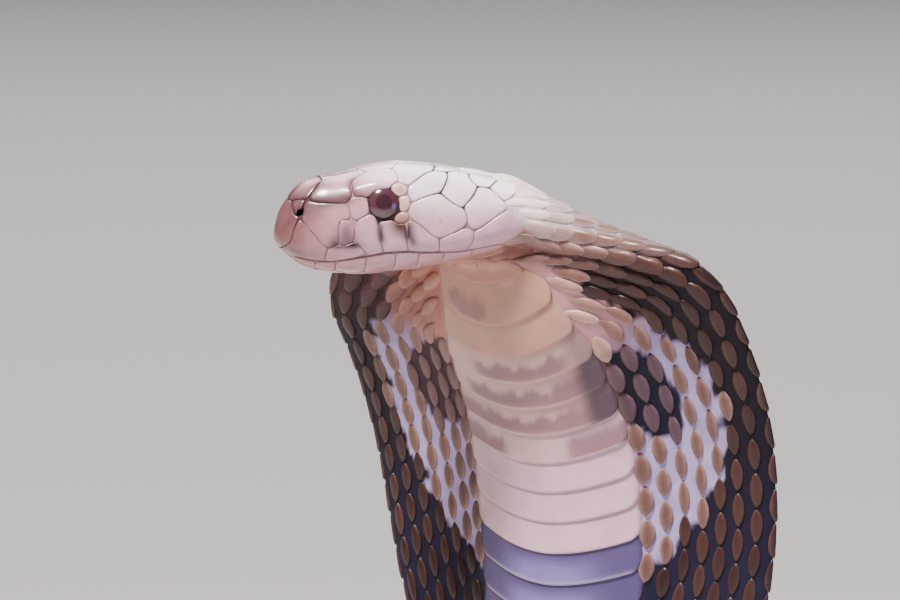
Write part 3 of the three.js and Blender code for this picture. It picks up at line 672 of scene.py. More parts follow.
class Shield:
    """The outline of one shield, kept on a flat chart of its part of the head."""

    def __init__(self, corners, side=1, polar=False, jaw="upper", rise=SHIELD_RISE, fixed=False):
        corners = np.array(corners, float)
        d, a = corners[:, 0], np.radians(corners[:, 1]) * side
        middle = np.array([d.mean()]), np.array([a.mean()])
        wide = head_point(middle[0], middle[1] + 0.02) - head_point(middle[0], middle[1] - 0.02)
        self.scale = max(float(np.linalg.norm(wide)) / 0.04, 4.0)
        self.polar, self.jaw, self.rise, self.fixed = polar, jaw, rise, fixed
        flat = to_chart(d, a, polar, self.scale)
        length = np.linalg.norm(flat - np.roll(flat, 1, 0), axis=1).sum()
        path = evenly(flat, int(np.clip(length / OUTLINE_STEP, 20, 110)))
        area = (path[:, 0] * np.roll(path[:, 1], -1) - path[:, 1] * np.roll(path[:, 0], -1)).sum()
        self.path = path if area > 0 else path[::-1]

    def places(self):
        """The outline's points as distance in front of the neck and angle."""
        return from_chart(self.path, self.polar, self.scale)


def close_seams(shields, passes):
    """Draw each outline to the line half way to its neighbours, so all seams are fine."""
    for _ in range(passes):
        spots = [np.stack(shield.places(), 1) for shield in shields]
        solid = [head_point(spot[:, 0], spot[:, 1]) for spot in spots]
        owner = np.concatenate([np.full(len(spot), k) for k, spot in enumerate(spots)])
        every, every_solid = np.concatenate(spots), np.concatenate(solid)
        jaws = np.array([shield.jaw == "upper" for shield in shields])[owner]
        still = np.array([shield.fixed for shield in shields])[owner]
        for k, shield in enumerate(shields):
            if shield.fixed:
                continue
            far = np.linalg.norm(solid[k][:, None] - every_solid[None], axis=2)
            far[:, (owner == k) | (jaws != (shield.jaw == "upper"))] = 99
            near = far.argmin(1)
            target = every[near]
            turns = np.round((target[:, 1] - spots[k][:, 1]) / (2 * math.pi))
            flat = to_chart(target[:, 0], target[:, 1] - turns * 2 * math.pi, shield.polar, shield.scale)
            move = flat - shield.path
            ahead = unit(np.roll(shield.path, -1, 0) - np.roll(shield.path, 1, 0))
            outward = np.stack([ahead[:, 1], -ahead[:, 0]], 1)
            straight = (move * outward).sum(1)
            facing = np.abs(straight) / np.maximum(np.linalg.norm(move, axis=1), 1e-6)
            use = (far.min(1) < SNAP_REACH) & (facing > MOST_SLANT)
            part = np.where(still[near], 1.0, 0.5) * use * straight
            shield.path = shield.path + outward * eased_path(part[:, None], 1)
            shield.path = evenly(shield.path, len(shield.path))


# how much of the rim's and of the border's tone each ring of a shield has, from its edge inwards
RIM_RINGS = (1, 1, 0.75, 0.3, 0, 0, 0, 0, 0)
BORDER_RINGS = (1, 1, 1, 1, 0.95, 0.7, 0.3, 0.1, 0)


def shield_parts(shield):
    """Points and faces of one shield, a thin plate with a fine rounded edge, and its tone shares."""
    path = eased_path(shield.path, 2)
    count = len(path)
    ahead = np.roll(path, -1, 0) - np.roll(path, 1, 0)
    inward = unit(np.stack([-ahead[:, 1], ahead[:, 0]], 1))
    centre = path.mean(0)
    rise = shield.rise
    rings = []
    heights = []
    # inset, height and rounding of the rings that make the edge
    edge_steps = ((0.0, -0.3, 0), (0.0, -0.04, 0), (0.06, 0.4 * rise, 1), (0.17, 0.75 * rise, 3),
                  (0.36, rise, 8))
    for inset, height, passes in edge_steps:
        rings.append(eased_path(path + inward * (SEAM / 2 + inset), passes))
        heights.append(np.full(count, height))
    last = rings[-1]
    for part in (0.82, 0.62, 0.42, 0.2):
        rings.append(eased_path(centre + (last - centre) * part, int(60 * (1 - part))))
        heights.append(np.full(count, rise + SHIELD_DOME * (1 - part**2)))
    flat = np.concatenate(rings + [centre[None]])
    height = np.concatenate(heights + [[rise + SHIELD_DOME]])
    d, a = from_chart(flat, shield.polar, shield.scale)
    points = head_point(d, a) + head_normal(d, a) * height[:, None]
    grid = np.arange(len(rings) * count).reshape(len(rings), count)
    ring = np.roll(grid, -1, axis=1)
    quads = np.stack([grid[:-1], ring[:-1], ring[1:], grid[1:]], -1).reshape(-1, 4)
    cap = np.stack([grid[-1], ring[-1], np.full(count, len(rings) * count)], -1)
    under = grid[0][::-1][None]
    lid = points[cap]
    facing = np.cross(lid[:, 1] - lid[:, 0], lid[:, 2] - lid[:, 0]).sum(0)
    if (facing * head_normal(d[-1:], a[-1:])[0]).sum() < 0:
        quads, cap, under = quads[:, ::-1], cap[:, ::-1], under[:, ::-1]
    edge = np.append(np.repeat(RIM_RINGS, count), 0.0)
    border = np.append(np.repeat(BORDER_RINGS, count), 0.0)
    return points, quads, cap, under, d, a, edge, border


def joined(parts):
    """Several sets of points and faces as one."""
    points, faces = [], []
    start = 0
    for part in parts:
        points.append(part[0])
        faces += [array + start for array in part[1:4]]
        start += len(part[0])
    return np.concatenate(points), faces


# corners as distance in front of the neck and degrees from the top, left side
TOP_SHIELDS = {
    "internasal": [
        (38.9, 0.3), (38.6, 12), (38.4, 20), (37.4, 32), (36.2, 41), (35.1, 35), (34.1, 28),
        (32.7, 18), (32.6, 0.3)],
    "prefrontal": [
        (32.6, 0.3), (32.7, 18), (34.1, 28), (35.1, 35), (36.1, 42), (34.2, 53), (31.5, 57),
        (29.3, 59), (28.3, 52), (28.1, 42), (28.1, 33), (26.3, 24), (24.5, 18), (24.8, 8),
        (25.4, 0.3)],
    "supraocular": [
        (27.9, 32), (26.2, 24), (24.4, 18), (21.5, 17), (19.7, 18), (19.3, 30), (19.4, 43),
        (21.5, 47.5), (24.5, 51), (26.3, 53), (27.8, 54), (28.1, 45)],
    "parietal": [
        (17.5, 0.3), (18.6, 8), (19.7, 18), (19.3, 30), (19.3, 43), (18.1, 50), (16.3, 42),
        (13.9, 28), (12.2, 21), (11.2, 8), (10.9, 0.3)],
    "preocular": [
        (28.9, 57), (27.4, 57), (26.3, 60), (25.6, 62), (25.7, 75), (27.2, 77), (29, 78), (29.1, 68)],
    "postocular_upper": [
        (20.6, 50), (19.4, 45.5), (18.3, 49), (18.0, 55), (18.5, 60), (19.9, 62), (20.5, 56)],
    "postocular_middle": [
        (19.9, 63), (18.2, 61), (18.1, 69), (18.5, 75), (19.6, 76), (20.1, 70)],
    "postocular_lower": [
        (21.2, 79.5), (20.0, 77.5), (18.8, 77), (18.7, 81), (19.8, 85), (20.9, 84)],
    "nasal_front": [
        (38.6, 21), (37.3, 34), (36.5, 42), (37.1, 47), (37.9, 50), (38.3, 58), (38.8, 50),
        (38.9, 36)],
    "nasal_rear": [
        (36.1, 49), (34.2, 55), (31.9, 59), (29.6, 62), (29.1, 65), (29.2, 77), (31.3, 75),
        (31.8, 83), (32.0, 91), (33.2, 96), (34.3, 95), (35.5, 87), (36.9, 77), (37.5, 66),
        (37.3, 55)],
    "cheek_small": [
        (31.1, 77), (29.5, 78), (29.1, 84), (29.2, 89), (30.0, 93), (31.0, 95), (31.6, 90),
        (31.6, 83)],
    "temporal_upper": [
        (17.8, 53), (15.9, 42), (13.8, 29), (12.1, 22), (9.8, 21), (9.9, 30), (11.2, 46),
        (12.3, 55), (15.1, 60), (17.8, 68), (18.0, 61)],
    "temporal_lower": [
        (18, 70), (16.2, 66), (13.8, 60), (12.4, 57), (11.4, 63), (10.1, 68), (8.7, 71), (8.2, 76),
        (8.3, 82), (9.1, 87), (11.3, 90), (13.3, 94), (14.3, 92), (15.7, 88), (16.8, 85), (18, 82),
        (18.6, 79)],
    "temporal_second": [
        (9.5, 22), (8.2, 15), (6.3, 12), (5.7, 17), (6.0, 28), (5.6, 36), (5.1, 42), (5.9, 50),
        (7.2, 61), (8.8, 70), (10.3, 66), (12.0, 56), (11.0, 47), (10.1, 36)],
    "temporal_rear": [
        (4.7, 42), (3.1, 42.5), (1.9, 50), (0.8, 61), (0.2, 67), (1.9, 75), (3.1, 80), (4.6, 84),
        (6.1, 88), (7.1, 88), (8.0, 84), (8.2, 76), (8.4, 70), (7.1, 62), (5.9, 55)],
    "nape_front": [
        (5.5, 26), (4.6, 14), (2.4, 10), (0.6, 12), (-0.1, 16), (1.2, 28), (2.7, 40), (3.9, 40),
        (5.0, 39), (5.6, 33)],
    "nape_rear": [
        (2.5, 41), (1.1, 29), (-0.4, 17), (-2.0, 17), (-3.0, 22), (-2.6, 38), (-1.5, 51),
        (-0.3, 58), (0.6, 61), (1.8, 52)],
}
TOP_MIDDLE = [(25.4, 0), (24.8, 8), (24.4, 17.5), (21.5, 16.5), (19.7, 17.5), (18.6, 8), (17.4, 0)]
NAPE_MIDDLE = [(10.8, 0), (11.1, 8), (12.0, 20), (9.6, 20), (8.2, 13.5), (6.2, 9), (5.8, 0)]
# the upper lip: corners of the seams between its shields, where they meet the mouth, and the
# corners along the top of each shield
UPPER_LIP = [
    [(40, 84), (38.4, 60)],
    [(33.9, 99)],
    [(27.8, 102), (29.0, 91)],
    [(24.1, 97), (24.3, 84)],
    [(19.6, 96), (19.1, 84)],
    [(13.7, 97)],
    [(7.4, 103), (7.3, 90)],
    [(-2.4, 100), (-1.6, 88)],
]
LIP_SEAMS = [41.2, 34.7, 26.7, 23.9, 19.3, 13.8, 8.9, -1.6]
UPPER_LIP_TOPS = [
    [(37.0, 79), (35.6, 88)],
    [(31.6, 97.5), (30.3, 95.5)],
    [(27.2, 78.5), (25.4, 77.5)],
    [(22.5, 84.5), (21.0, 85.5)],
    [(17.9, 84), (16.7, 87), (15.5, 90)],
    [(12.9, 96), (11.4, 91), (9.1, 88.5)],
    [(6.2, 90), (4.3, 86), (2.6, 80), (1.0, 75.5), (-0.2, 77)],
]
ROSTRAL = [(39.1, 0), (38.9, 12), (39.1, 30), (39.0, 48), (38.5, 59), (40.1, 84), (41.2, 107),
           (41.8, 150), (41.9, 180)]
# the lower lip's seams and the degrees of its lower edge, then the two pairs of chin shields
LOWER_SEAMS = [40.2, 36.2, 32.6, 27.1, 21.7, 17.5, 12.8, 7.4, 1.6]
LOWER_EDGE = [139, 145, 150, 154, 156, 157, 156, 148, 135]
CHIN_SHIELDS = [((36.0, 152), (30.6, 160)), ((30.4, 161), (22.5, 166))]


def mirror_closed(half):
    """A closed outline from its left half."""
    other = [(d, -a) for d, a in half if 0 < a < 180]
    return list(half) + other[::-1]


def lip_run(start, end, off):
    """Corners along the lip between two seams, a little off the mouth's line."""
    d = np.linspace(start, end, 6)
    return [(float(x), float(np.degrees(y)) + off) for x, y in zip(d, mouth_angle(d))]


LIP_GAP = 0.9
BROW_THICKER = 1.8
SEAM_PASSES = 5
shields = []
for name, corners in TOP_SHIELDS.items():
    rise = SHIELD_RISE * (BROW_THICKER if name == "supraocular" else 1)
    near_tip = name in ("internasal", "nasal_front")
    shields += [Shield(corners, side, near_tip, rise=rise) for side in (1, -1)]
for k in range(len(UPPER_LIP) - 1):
    corners = (UPPER_LIP[k][::-1] + lip_run(LIP_SEAMS[k], LIP_SEAMS[k + 1], -LIP_GAP)
               + UPPER_LIP[k + 1] + UPPER_LIP_TOPS[k][::-1])
    shields += [Shield(corners, side, polar=k == 0) for side in (1, -1)]
shields.append(Shield(mirror_closed(TOP_MIDDLE)))
shields.append(Shield(mirror_closed(NAPE_MIDDLE)))
shields.append(Shield(mirror_closed(ROSTRAL), polar=True))
for k in range(len(LOWER_SEAMS) - 1):
    start, end = LOWER_SEAMS[k], LOWER_SEAMS[k + 1]
    corners = lip_run(start, end, LIP_GAP) + [(end, LOWER_EDGE[k + 1]), (start, LOWER_EDGE[k])]
    shields += [Shield(corners, side, jaw="lower") for side in (1, -1)]
for (front, front_edge), (back_d, back_edge) in CHIN_SHIELDS:
    corners = [(front, front_edge), (back_d, back_edge), (back_d, 179.2), (front, 179.2)]
    shields += [Shield(corners, side, jaw="lower") for side in (1, -1)]
turn = np.radians(np.arange(0, 360, 10))
holes = []
socket_size = (EYE_OUTLINE["r"], EYE_OUTLINE["r"])
for hole, (long_r, wide_r) in ((EYE_OUTLINE, socket_size), (NOSTRIL, NOSTRIL["hole"])):
    d0, a0 = hole["d"], hole["angle"]
    middle = np.array([d0]), np.radians([a0])
    per_radian = float(np.linalg.norm(head_point(middle[0], middle[1] + 0.02)
                                      - head_point(middle[0], middle[1] - 0.02))) / 0.04
    corners = np.stack([d0 + long_r * np.cos(turn), a0 + np.degrees(wide_r / per_radian) * np.sin(turn)], 1)
    holes += [Shield(corners, side, fixed=True) for side in (1, -1)]
close_seams(shields + holes, SEAM_PASSES)
parts = [shield_parts(shield) for shield in shields]
points, faces = joined(parts)
on_d = np.concatenate([part[4] for part in parts])
on_a = np.degrees(np.abs(np.concatenate([part[5] for part in parts])))
rim = np.concatenate([part[6] for part in parts])
border = np.concatenate([part[7] for part in parts])


def shield_tone(d, a, rim, border):
    """Cream-pink keratin, browner to the snout, stained along some of the seams."""
    tone = blend(colour("#c6969d") + 0 * d[:, None], colour("#f6e2ed"), ease(d, 29, 16) * ease(a, 105, 55))
    tone = blend(tone, colour("#deb0b9"), ease(a, 60, 95) * ease(d, 36, 24) * 0.65)
    tone = blend(tone, colour("#74494e"), ease(d, 31, 42) * 0.9)
    tone = blend(tone, colour("#bd8588"), ease(a, 106, 150) * 0.8)
    # distance in front of the joint, degrees from the top, reach of each, colour and strength
    stains = [
        (34.0, 38, 3.0, 14, "#6b4a54", 0.7), (34.6, 50, 4.4, 9, "#452a2f", 0.85),
        (31.2, 55, 3.8, 8, "#563740", 0.8), (37.6, 44, 1.6, 9.0, "#3a2426", 0.75),
        (37.6, 30, 2.0, 14, "#5b3b41", 0.6), (36.0, 64, 2.2, 11, "#6e4a4e", 0.7),
        (38.6, 70, 1.4, 16, "#7c5556", 0.6), (40.2, 60, 1.6, 30, "#6b4849", 0.75),
        (28.2, 44, 0.9, 9.0, "#6a4a50", 0.6), (25.3, 54, 2.4, 2.6, "#a97e70", 0.8),
        (30.3, 87, 1.3, 9.0, "#775768", 0.85), (32.5, 94, 1.6, 6.6, "#150a0f", 1.0),
        (29.5, 96, 2.0, 6.2, "#150a0f", 1.0), (20.4, 86.0, 1.9, 4.6, "#1d0f13", 1.0),
        (19.2, 90, 1.1, 7.5, "#24131a", 1.0), (18.4, 98, 0.8, 7.0, "#2f1b24", 0.9),
        (24.1, 90, 0.7, 8.5, "#160b10", 1.0), (13.1, 82, 0.3, 1.5, "#8a6a70", 0.7),
        (19.3, 55, 1.3, 7.0, "#c49a7c", 0.9), (19.2, 69, 1.2, 7.0, "#d3ab88", 0.9),
        (19.9, 81, 1.4, 4.0, "#a97c61", 0.9),
    ]
    for d0, a0, wide, tall, code, strength in stains:
        far = ((d - d0) / wide) ** 2 + ((a - a0) / tall) ** 2
        tone = blend(tone, colour(code), strength * np.exp(-far))
    # brown clouds that gather along the borders on top of the snout
    cloudy = 0.5 + 0.5 * np.sin(d * 1.7 + 2.2 * np.sin(a * 0.12) + 1.4 * np.sin(d * 0.6 + a * 0.05))
    dim = border * ease(d, 24, 29) * ease(a, 66, 54) * (0.5 + 0.5 * cloudy)
    tone = blend(tone, colour("#4f3238"), dim * 0.8)
    # the rims, which line the seams
    rear = ease(d, 21, 12) * ease(a, 80, 55)
    snout = ease(d, 27, 34) * ease(a, 74, 60)
    seam = blend(tone * 0.7, colour("#33243e"), rear * 0.85)
    seam = blend(seam, colour("#43292a"), snout * 0.9)
    return blend(tone, seam, rim * (0.6 + 0.4 * np.maximum(rear, snout)))


tone = shield_tone(on_d, on_a, rim, border)
patches = []
for part in parts:
    root = unwrap(neck_edge(part[5]).mean() - part[4].mean(), part[5].mean())
    spot = (part[0] - part[0].mean(0)) @ np.stack([LEFT, FORWARD], 1)
    patches.append(root + spot / np.abs(spot).max() * PATCH_HALF)
patch = np.concatenate(patches)
head_case = new_piece("head_shields", points, faces, tone, patch)
# keratin shields, smooth and slightly oily, so a clear soft gloss over a waxy colour
head_case.data.materials.append(scaly_material("shield_keratin", rough=0.34, fine_mm=0.4,
                                              relief_mm=0.03, mottle=0.1, coat=0.7, shine=0.5))
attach(head_case, "root")

# Eyes
# Each eye is a wet dome behind a clear scale: a round dark pupil in an umber iris, set deep
# under the brow. A ball is drawn out flat along the same axis as in the solids.
EYE = {"d": 22.7, "z": 7.4, "y": 8.43, "r": 3.1, "out": 1.55}
EYE_TURN = {"side": 0.97, "up": 0.2, "forward": 0.12}
PUPIL = 0.5
for name, side in (("left", 1), ("right", -1)):
    axis = unit(LEFT * side * EYE_TURN["side"] + UP * EYE_TURN["up"] + FORWARD * EYE_TURN["forward"])
    centre = JOINT + FORWARD * EYE["d"] + LEFT * side * EYE["y"] + UP * EYE["z"]
    first_way = unit(np.cross(axis, UP))
    second_way = np.cross(axis, first_way)
    bpy.ops.mesh.primitive_uv_sphere_add(segments=64, ring_count=40, radius=1, calc_uvs=False)
    eye = bpy.context.object
    eye.name = "eye_dome_" + name
    eye.data.name = eye.name
    ball = np.zeros(len(eye.data.vertices) * 3)
    eye.data.vertices.foreach_get("co", ball)
    ball = ball.reshape(-1, 3)
    ways = np.stack([first_way * EYE["r"], second_way * EYE["r"], axis * EYE["out"]])
    eye.data.vertices.foreach_set("co", ((centre + ball @ ways) * 0.001).ravel())
    far = np.hypot(ball[:, 0], ball[:, 1])
    in_pupil = 1 - ease(far, PUPIL - 0.03, PUPIL + 0.03)
    tone = blend(colour("#50313a") + 0 * far[:, None], colour("#3a232b"), in_pupil)
    tone = blend(tone, colour("#1f1013"), ease(far, 0.78, 0.95))
    dress(eye.data, tone, 0.5 + 0.4 * ball[:, :2])
    # the clear scale over the eye is wet and glassy: a hard gloss on a dark ground
    eye.data.materials.append(scaly_material("wet_eye_" + name, rough=0.12, fine_mm=0.6,
                                             relief_mm=0.002, mottle=0.05, coat=1.0, shine=0.5))
    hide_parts("eye_" + name)
    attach(eye, "root")

# Scales
# Small keratin scales stand on the bare skin in slanting rows, one ring of them to each belly
# plate. On the spread hood they are spindles set apart; on the neck and body they overlap.
PITCH = 6.42
pitch_at = smooth_table([(-14, 4.4), (4, 4.6), (26, PITCH), (1130, PITCH), (1200, 5.2), (1270, 3.8),
                         (1320, 2.4), (1338, 2)])
# rows from the middle of the back to the plates, and to the body's side
rows_half = smooth_table([
    (-14, 9.4), (0, 9.8), (6, 10.3), (12, 11.5), (20, 14), (27, 15.6), (70, 15.6), (100, 14), (125, 12.2),
    (165, 10.5), (900, 10.5), (1100, 8.5), (1200, 6.5), (1260, 4.5), (1320, 3), (1338, 2.6)])
back_rows = smooth_table([
    (-14, 8), (100, 8), (165, 6.4), (900, 6.4), (1100, 5.2), (1200, 4), (1260, 2.8), (1320, 1.9),
    (1338, 1.6)])
MOST_LEAN = 2.5
LEAST_STRETCH = 0.4
SCALE_FOOT = -0.22


def row_angle(s, row):
    """The angle of a row of scales at a station: rows are counted from the middle of the back."""
    on_back = back_rows(s)
    past = np.maximum(np.abs(row) - on_back, 0)
    share = np.minimum(np.abs(row), on_back) / on_back + past / (rows_half(s) - on_back)
    return even_place(s, 0.5 * share) * np.sign(row)


def row_lie(s, row, angle_of):
    """True length of a step of s along a row, how far the rows lean, and the width of a row."""
    along = skin_point(s + 0.5, angle_of(s + 0.5, row)) - skin_point(s - 0.5, angle_of(s - 0.5, row))
    across = (skin_point(s, angle_of(s, row + 0.3)) - skin_point(s, angle_of(s, row - 0.3))) / 0.6
    stretch = np.maximum(np.linalg.norm(along, axis=1), LEAST_STRETCH)
    lean = (across * along).sum(1) / stretch**2
    width = np.linalg.norm(across - along * lean[:, None], axis=1)
    lean = np.clip(lean, -MOST_LEAN, MOST_LEAN)
    return stretch, lean, width


def plate_template(across, along):
    """A small grid of places on one scale, its faces, and which places are on its rim."""
    x, y = np.meshgrid(np.linspace(-1, 1, across), along)
    count = x.size
    index = np.arange(count).reshape(x.shape)
    top = np.stack([index[:-1, :-1], index[:-1, 1:], index[1:, 1:], index[1:, :-1]], -1)
    rim = np.concatenate([index[0, :-1], index[:-1, -1], index[-1, :0:-1], index[:0:-1, 0]])
    low = count + np.arange(len(rim))
    wall = np.stack([rim, low, np.roll(low, -1), np.roll(rim, -1)], -1)
    on_rim = np.zeros(count, bool)
    on_rim[rim] = True
    x = np.concatenate([x.ravel(), x.ravel()[rim]])
    y = np.concatenate([y.ravel(), y.ravel()[rim]])
    return x, y, np.concatenate([top.reshape(-1, 4), wall]), low, on_rim, count


def scale_piece(name, s, row, long, wide, tall, look, tone_at, angle_of=row_angle):
    """Many scales of one look at their stations and rows, as one piece."""
    x, y, quads, low, on_rim, count = plate_template(*look["grid"])
    outline = np.interp(y, look["at"], look["half"])
    swell = np.concatenate([1 - np.abs(x[:count]) ** 2.4, np.zeros(len(low))])
    height = look["front"] + (look["lift"] - look["front"]) * y ** look["rise"]
    height = height + look["dome"] * swell * np.sin(np.pi * np.clip(y, 0.02, 0.98)) ** 0.6
    height[:count][on_rim] -= look["round"]
    height[count:] = SCALE_FOOT
    lean = row_lie(s, row, angle_of)[1]
    off_row = (x * outline)[None] * wide[:, None] / 2
    at_s = s[:, None] + (y - 0.5)[None] * long[:, None] - lean[:, None] * off_row
    at_row = row[:, None] + off_row
    angle = angle_of(at_s, at_row)
    height = np.where(height > 0, height[None] * tall[:, None], height[None])
    points = on_skin(at_s, angle, height)
    tone = tone_at(s, angle_of(s, row), x, y)
    root = unwrap(s, angle_of(s, row))[:, None]
    spot = np.stack([x * outline, y * 2 - 1], -1)[None] * PATCH_HALF
    count_all = len(x)
    start = (np.arange(len(s)) * count_all)[:, None, None]
    faces = (quads[None] + start).reshape(-1, 4)
    under = low[::-1][None] + np.arange(len(s))[:, None] * count_all
    piece = new_piece(name, points.reshape(-1, 3), [faces, under], tone.reshape(-1, 3),
                      (root + spot).reshape(-1, 2))
    piece.data.materials.append(dry_keratin)
    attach(piece, "root")
    return piece


# where the rows start behind the head, as distance in front of the joint against the angle
shield_rear = smooth_table([(0, 6), (9, 6), (13, 2.1), (18, -0.9), (26, -2.7), (40, -2.6), (55, -0.4),
                            (66, 0.2), (76, -1.4), (84, -2.4), (120, -2.4), (128, 0.8), (140, 1.8)])
FIRST_PLATE = 52.4
IN_STEP = 60
MOST_ROWS = 17
FILL_GAP = 0.4
# the scales are counted along each row: by true length behind the head, by rings from there on
phase_s = np.concatenate([np.arange(-14, IN_STEP, 0.5), np.arange(IN_STEP, 1334, 2.0)])
true_share = (1 - ease(phase_s[:-1], 22, 48))[:, None]
rows_all = np.arange(-MOST_ROWS, MOST_ROWS + 1).astype(float)
at_s, at_row = np.meshgrid(phase_s, rows_all, indexing="ij")
walk = skin_point(at_s, row_angle(at_s, at_row))
true_step = np.linalg.norm(np.diff(walk, axis=0), axis=2)
flat_step = np.diff(phase_s)[:, None]
rate = (true_step * true_share + flat_step * (1 - true_share)) / pitch_at(phase_s[:-1])[:, None]
phase = np.concatenate([np.zeros((1, len(rows_all))), np.cumsum(rate, axis=0)])
phase = phase - phase[np.searchsorted(phase_s, IN_STEP)] + (IN_STEP - FIRST_PLATE) / PITCH
scale_s, scale_row = [], []
for column, row in enumerate(rows_all):
    angle = row_angle(phase_s, np.full(len(phase_s), row))
    clear = neck_edge(angle) - phase_s + 0.7 < shield_rear(np.degrees(np.abs(angle)))
    clear &= np.abs(row) <= rows_half(phase_s) - 0.45
    offset = 0.5 * (row % 2)
    wanted = np.arange(math.ceil(phase[0, column] - offset), phase[-1, column] - offset) + offset
    start = phase[clear.argmax(), column]
    wanted = wanted[wanted > start]
    # where a row starts with a gap behind the shields, one more scale fills it
    if phase_s[clear.argmax()] < 6 and wanted[0] - start > FILL_GAP:
        wanted = np.concatenate([[start + 0.2 * (wanted[0] - start)], wanted])
    at = np.interp(wanted, phase[:, column], phase_s)
    at = at[np.interp(at, phase_s, clear) > 0.5]
    scale_s.append(at)
    scale_row.append(np.full(len(at), row))
scale_s, scale_row = np.concatenate(scale_s), np.concatenate(scale_row)
noise = np.random.default_rng(7)
jitter = noise.normal(0, 1, (4, len(scale_s)))
stretch, _, apart = row_lie(scale_s, scale_row, row_angle)
hooded = ease(scale_s, 12, 30) * (1 - ease(scale_s, 104, 150))


def body_tone(s, angle, x, y):
    """Umber scales, darker at the root as painted shade under the scale ahead, with faint paler bands round
    the body.
    """
    wave = 0.5 + 0.5 * np.cos(2 * math.pi * (s / 46 + 0.06 * np.sin(s / 31)))
    base = blend(colour("#3b2a22") + 0 * s[:, None], colour("#6e5238"), wave**6 * 0.45 * ease(s, 150, 260))
    base = blend(base, colour("#57412f"), ease(-np.cos(angle), 0.05, 0.6) * 0.5)
    edge = np.clip(np.abs(x), 0, 1) ** 3 * 0.5 + ease(y, 0.7, 1) * 0.35
    tone = blend(base[:, None] + 0 * x[None, :, None], base[:, None] * 1.75 + colour("#1c140f"), edge[None])
    # painted shade: the root of each scale, under the tip of the scale ahead, is darkened
    return blend(tone, colour("#181112"), (1 - ease(y, 0.05, 0.4))[None] * 0.5 + 0 * s[:, None])


def hood_tone(s, angle, x, y):
    """Brown spindles with paler rims, darker in the spots and cream on the nape."""
    spot, net, ring = hood_marks(s, angle)
    below = ease(-np.cos(angle), 0.0, 0.12)
    q = half_width(np.maximum(s, 0)) * np.sin(angle)
    left = ease(q, -4, 4)
    q = np.abs(q)
    # every scale differs a little
    pick = 0.5 + 0.5 * np.sin(s * 12.9898 + angle * 78.233 + np.sin(s * 3.7) * 9)
    base = blend(colour("#2d1b1c") + 0 * s[:, None], colour("#3d2624"), pick)
    base = blend(base, colour("#654944"), net * 0.9)
    high = net * (1 - ease(s + 0.45 * q, 30, 46))
    base = blend(base, blend(colour("#ac7867") + 0 * base, colour("#8a6258"), left), high)
    base = blend(base, blend(colour("#694a4c") + 0 * base, colour("#4b3846"), left), spot * 0.9)
    base = blend(base, colour("#c9a98c"), ring * 0.9)
    # painted shadow of the head over the upper right of the hood
    base = head_shadow_rose(base, s, q, left, below)
    beside = ease(strip_edge(s) - np.abs(angle), 0.16, 0.06) * below
    base = blend(base, colour("#c8a08c"), beside * (1 - ease(s, 26, 38)) * (0.3 + 0.5 * left))
    tan = (1 - ease(s + 0.15 * q, 9, 21)) * ease(-np.cos(angle), -0.5, 0) * (1 - (1 - left) * below)
    base = blend(base, colour("#7e5a51"), tan)
    nape = (1 - ease(s + 0.12 * q, 6, 24)) * (1 - ease(-np.cos(angle), -0.4, 0.3))
    base = blend(base, blend(colour("#684633") + 0 * base, colour("#f4e2e0"), 1 - ease(s, 0, 6.5)), nape)
    # the paler rim goes through the same places
    rim = blend(colour("#4a322c") + 0 * s[:, None], colour("#654839"), pick * 0.7)
    rim = blend(rim, colour("#a88880"), net)
    rim = blend(rim, colour("#ba8a80"), high * (1 - left))
    rim = blend(rim, colour("#765a5e"), spot)
    rim = blend(rim, colour("#dcbcae"), beside * (1 - ease(s, 26, 38)) * (0.2 + 0.8 * left))
    # the rims take the same painted shadow of the head
    rim = head_shadow_rose(rim, s, q, left, below)
    rim = blend(rim, colour("#b3948f"), tan)
    rim = blend(rim, blend(colour("#bba5ab") + 0 * rim, colour("#fbeee6"), 1 - ease(s, 1, 10)), nape)
    edge = np.clip(np.abs(x) ** 2.5 * 0.8 + np.abs(y * 2 - 1) ** 5 * 0.5, 0, 1)
    return base[:, None] * (1 - edge[None, :, None]) + rim[:, None] * edge[None, :, None]


# keratin over dark pigment, each scale domed and waxy, so a low broad gloss along its ridge
dry_keratin = scaly_material("scale_keratin", rough=0.45, fine_mm=0.4, relief_mm=0.04, mottle=0.16,
                             coat=0.2, shine=0.22)
# half widths of a scale at stations from its root to its tip, and its heights in millimetres
ALONG = [0, 0.1, 0.3, 0.55, 0.78, 0.92, 1.0]
SPINDLE = {"grid": (5, ALONG), "at": ALONG, "half": [0.12, 0.48, 0.88, 1.0, 0.76, 0.42, 0.08],
           "front": -0.02, "lift": 0.38, "rise": 1.0, "dome": 0.28, "round": 0.12}
DOMED = {"grid": (5, ALONG), "at": ALONG, "half": [0.4, 0.74, 0.97, 1.0, 0.8, 0.5, 0.16],
         "front": -0.2, "lift": 0.42, "rise": 1.0, "dome": 0.42, "round": 0.14}
LAPPED = {"grid": (5, ALONG), "at": ALONG, "half": [0.5, 0.7, 0.94, 1.0, 0.86, 0.55, 0.2],
          "front": -0.2, "lift": 0.5, "rise": 0.9, "dome": 0.22, "round": 0.08}
on_hood = (scale_s < 128) & (hooded > 0.3)
on_neck = ~on_hood & (scale_s < 160)
long = pitch_at(scale_s) * (1.45 - 0.5 * hooded) + 0.2 * jitter[0] * hooded
long = np.where(scale_s > IN_STEP, long, long / np.maximum(stretch, 0.5))
outermost = ease(np.abs(scale_row) / rows_half(scale_s), 0.86, 0.95)
wide = (1.0 - (0.32 - 0.22 * outermost) * hooded) * (1 + 0.05 * jitter[1])
wide = wide + 0.1 * ease(scale_s, 104, 130)
tall = np.clip(wide * apart / 3.4, 0.35, 1.15)
groups = [("hood_scales", on_hood, SPINDLE, hood_tone), ("neck_scales", on_neck, DOMED, hood_tone)]
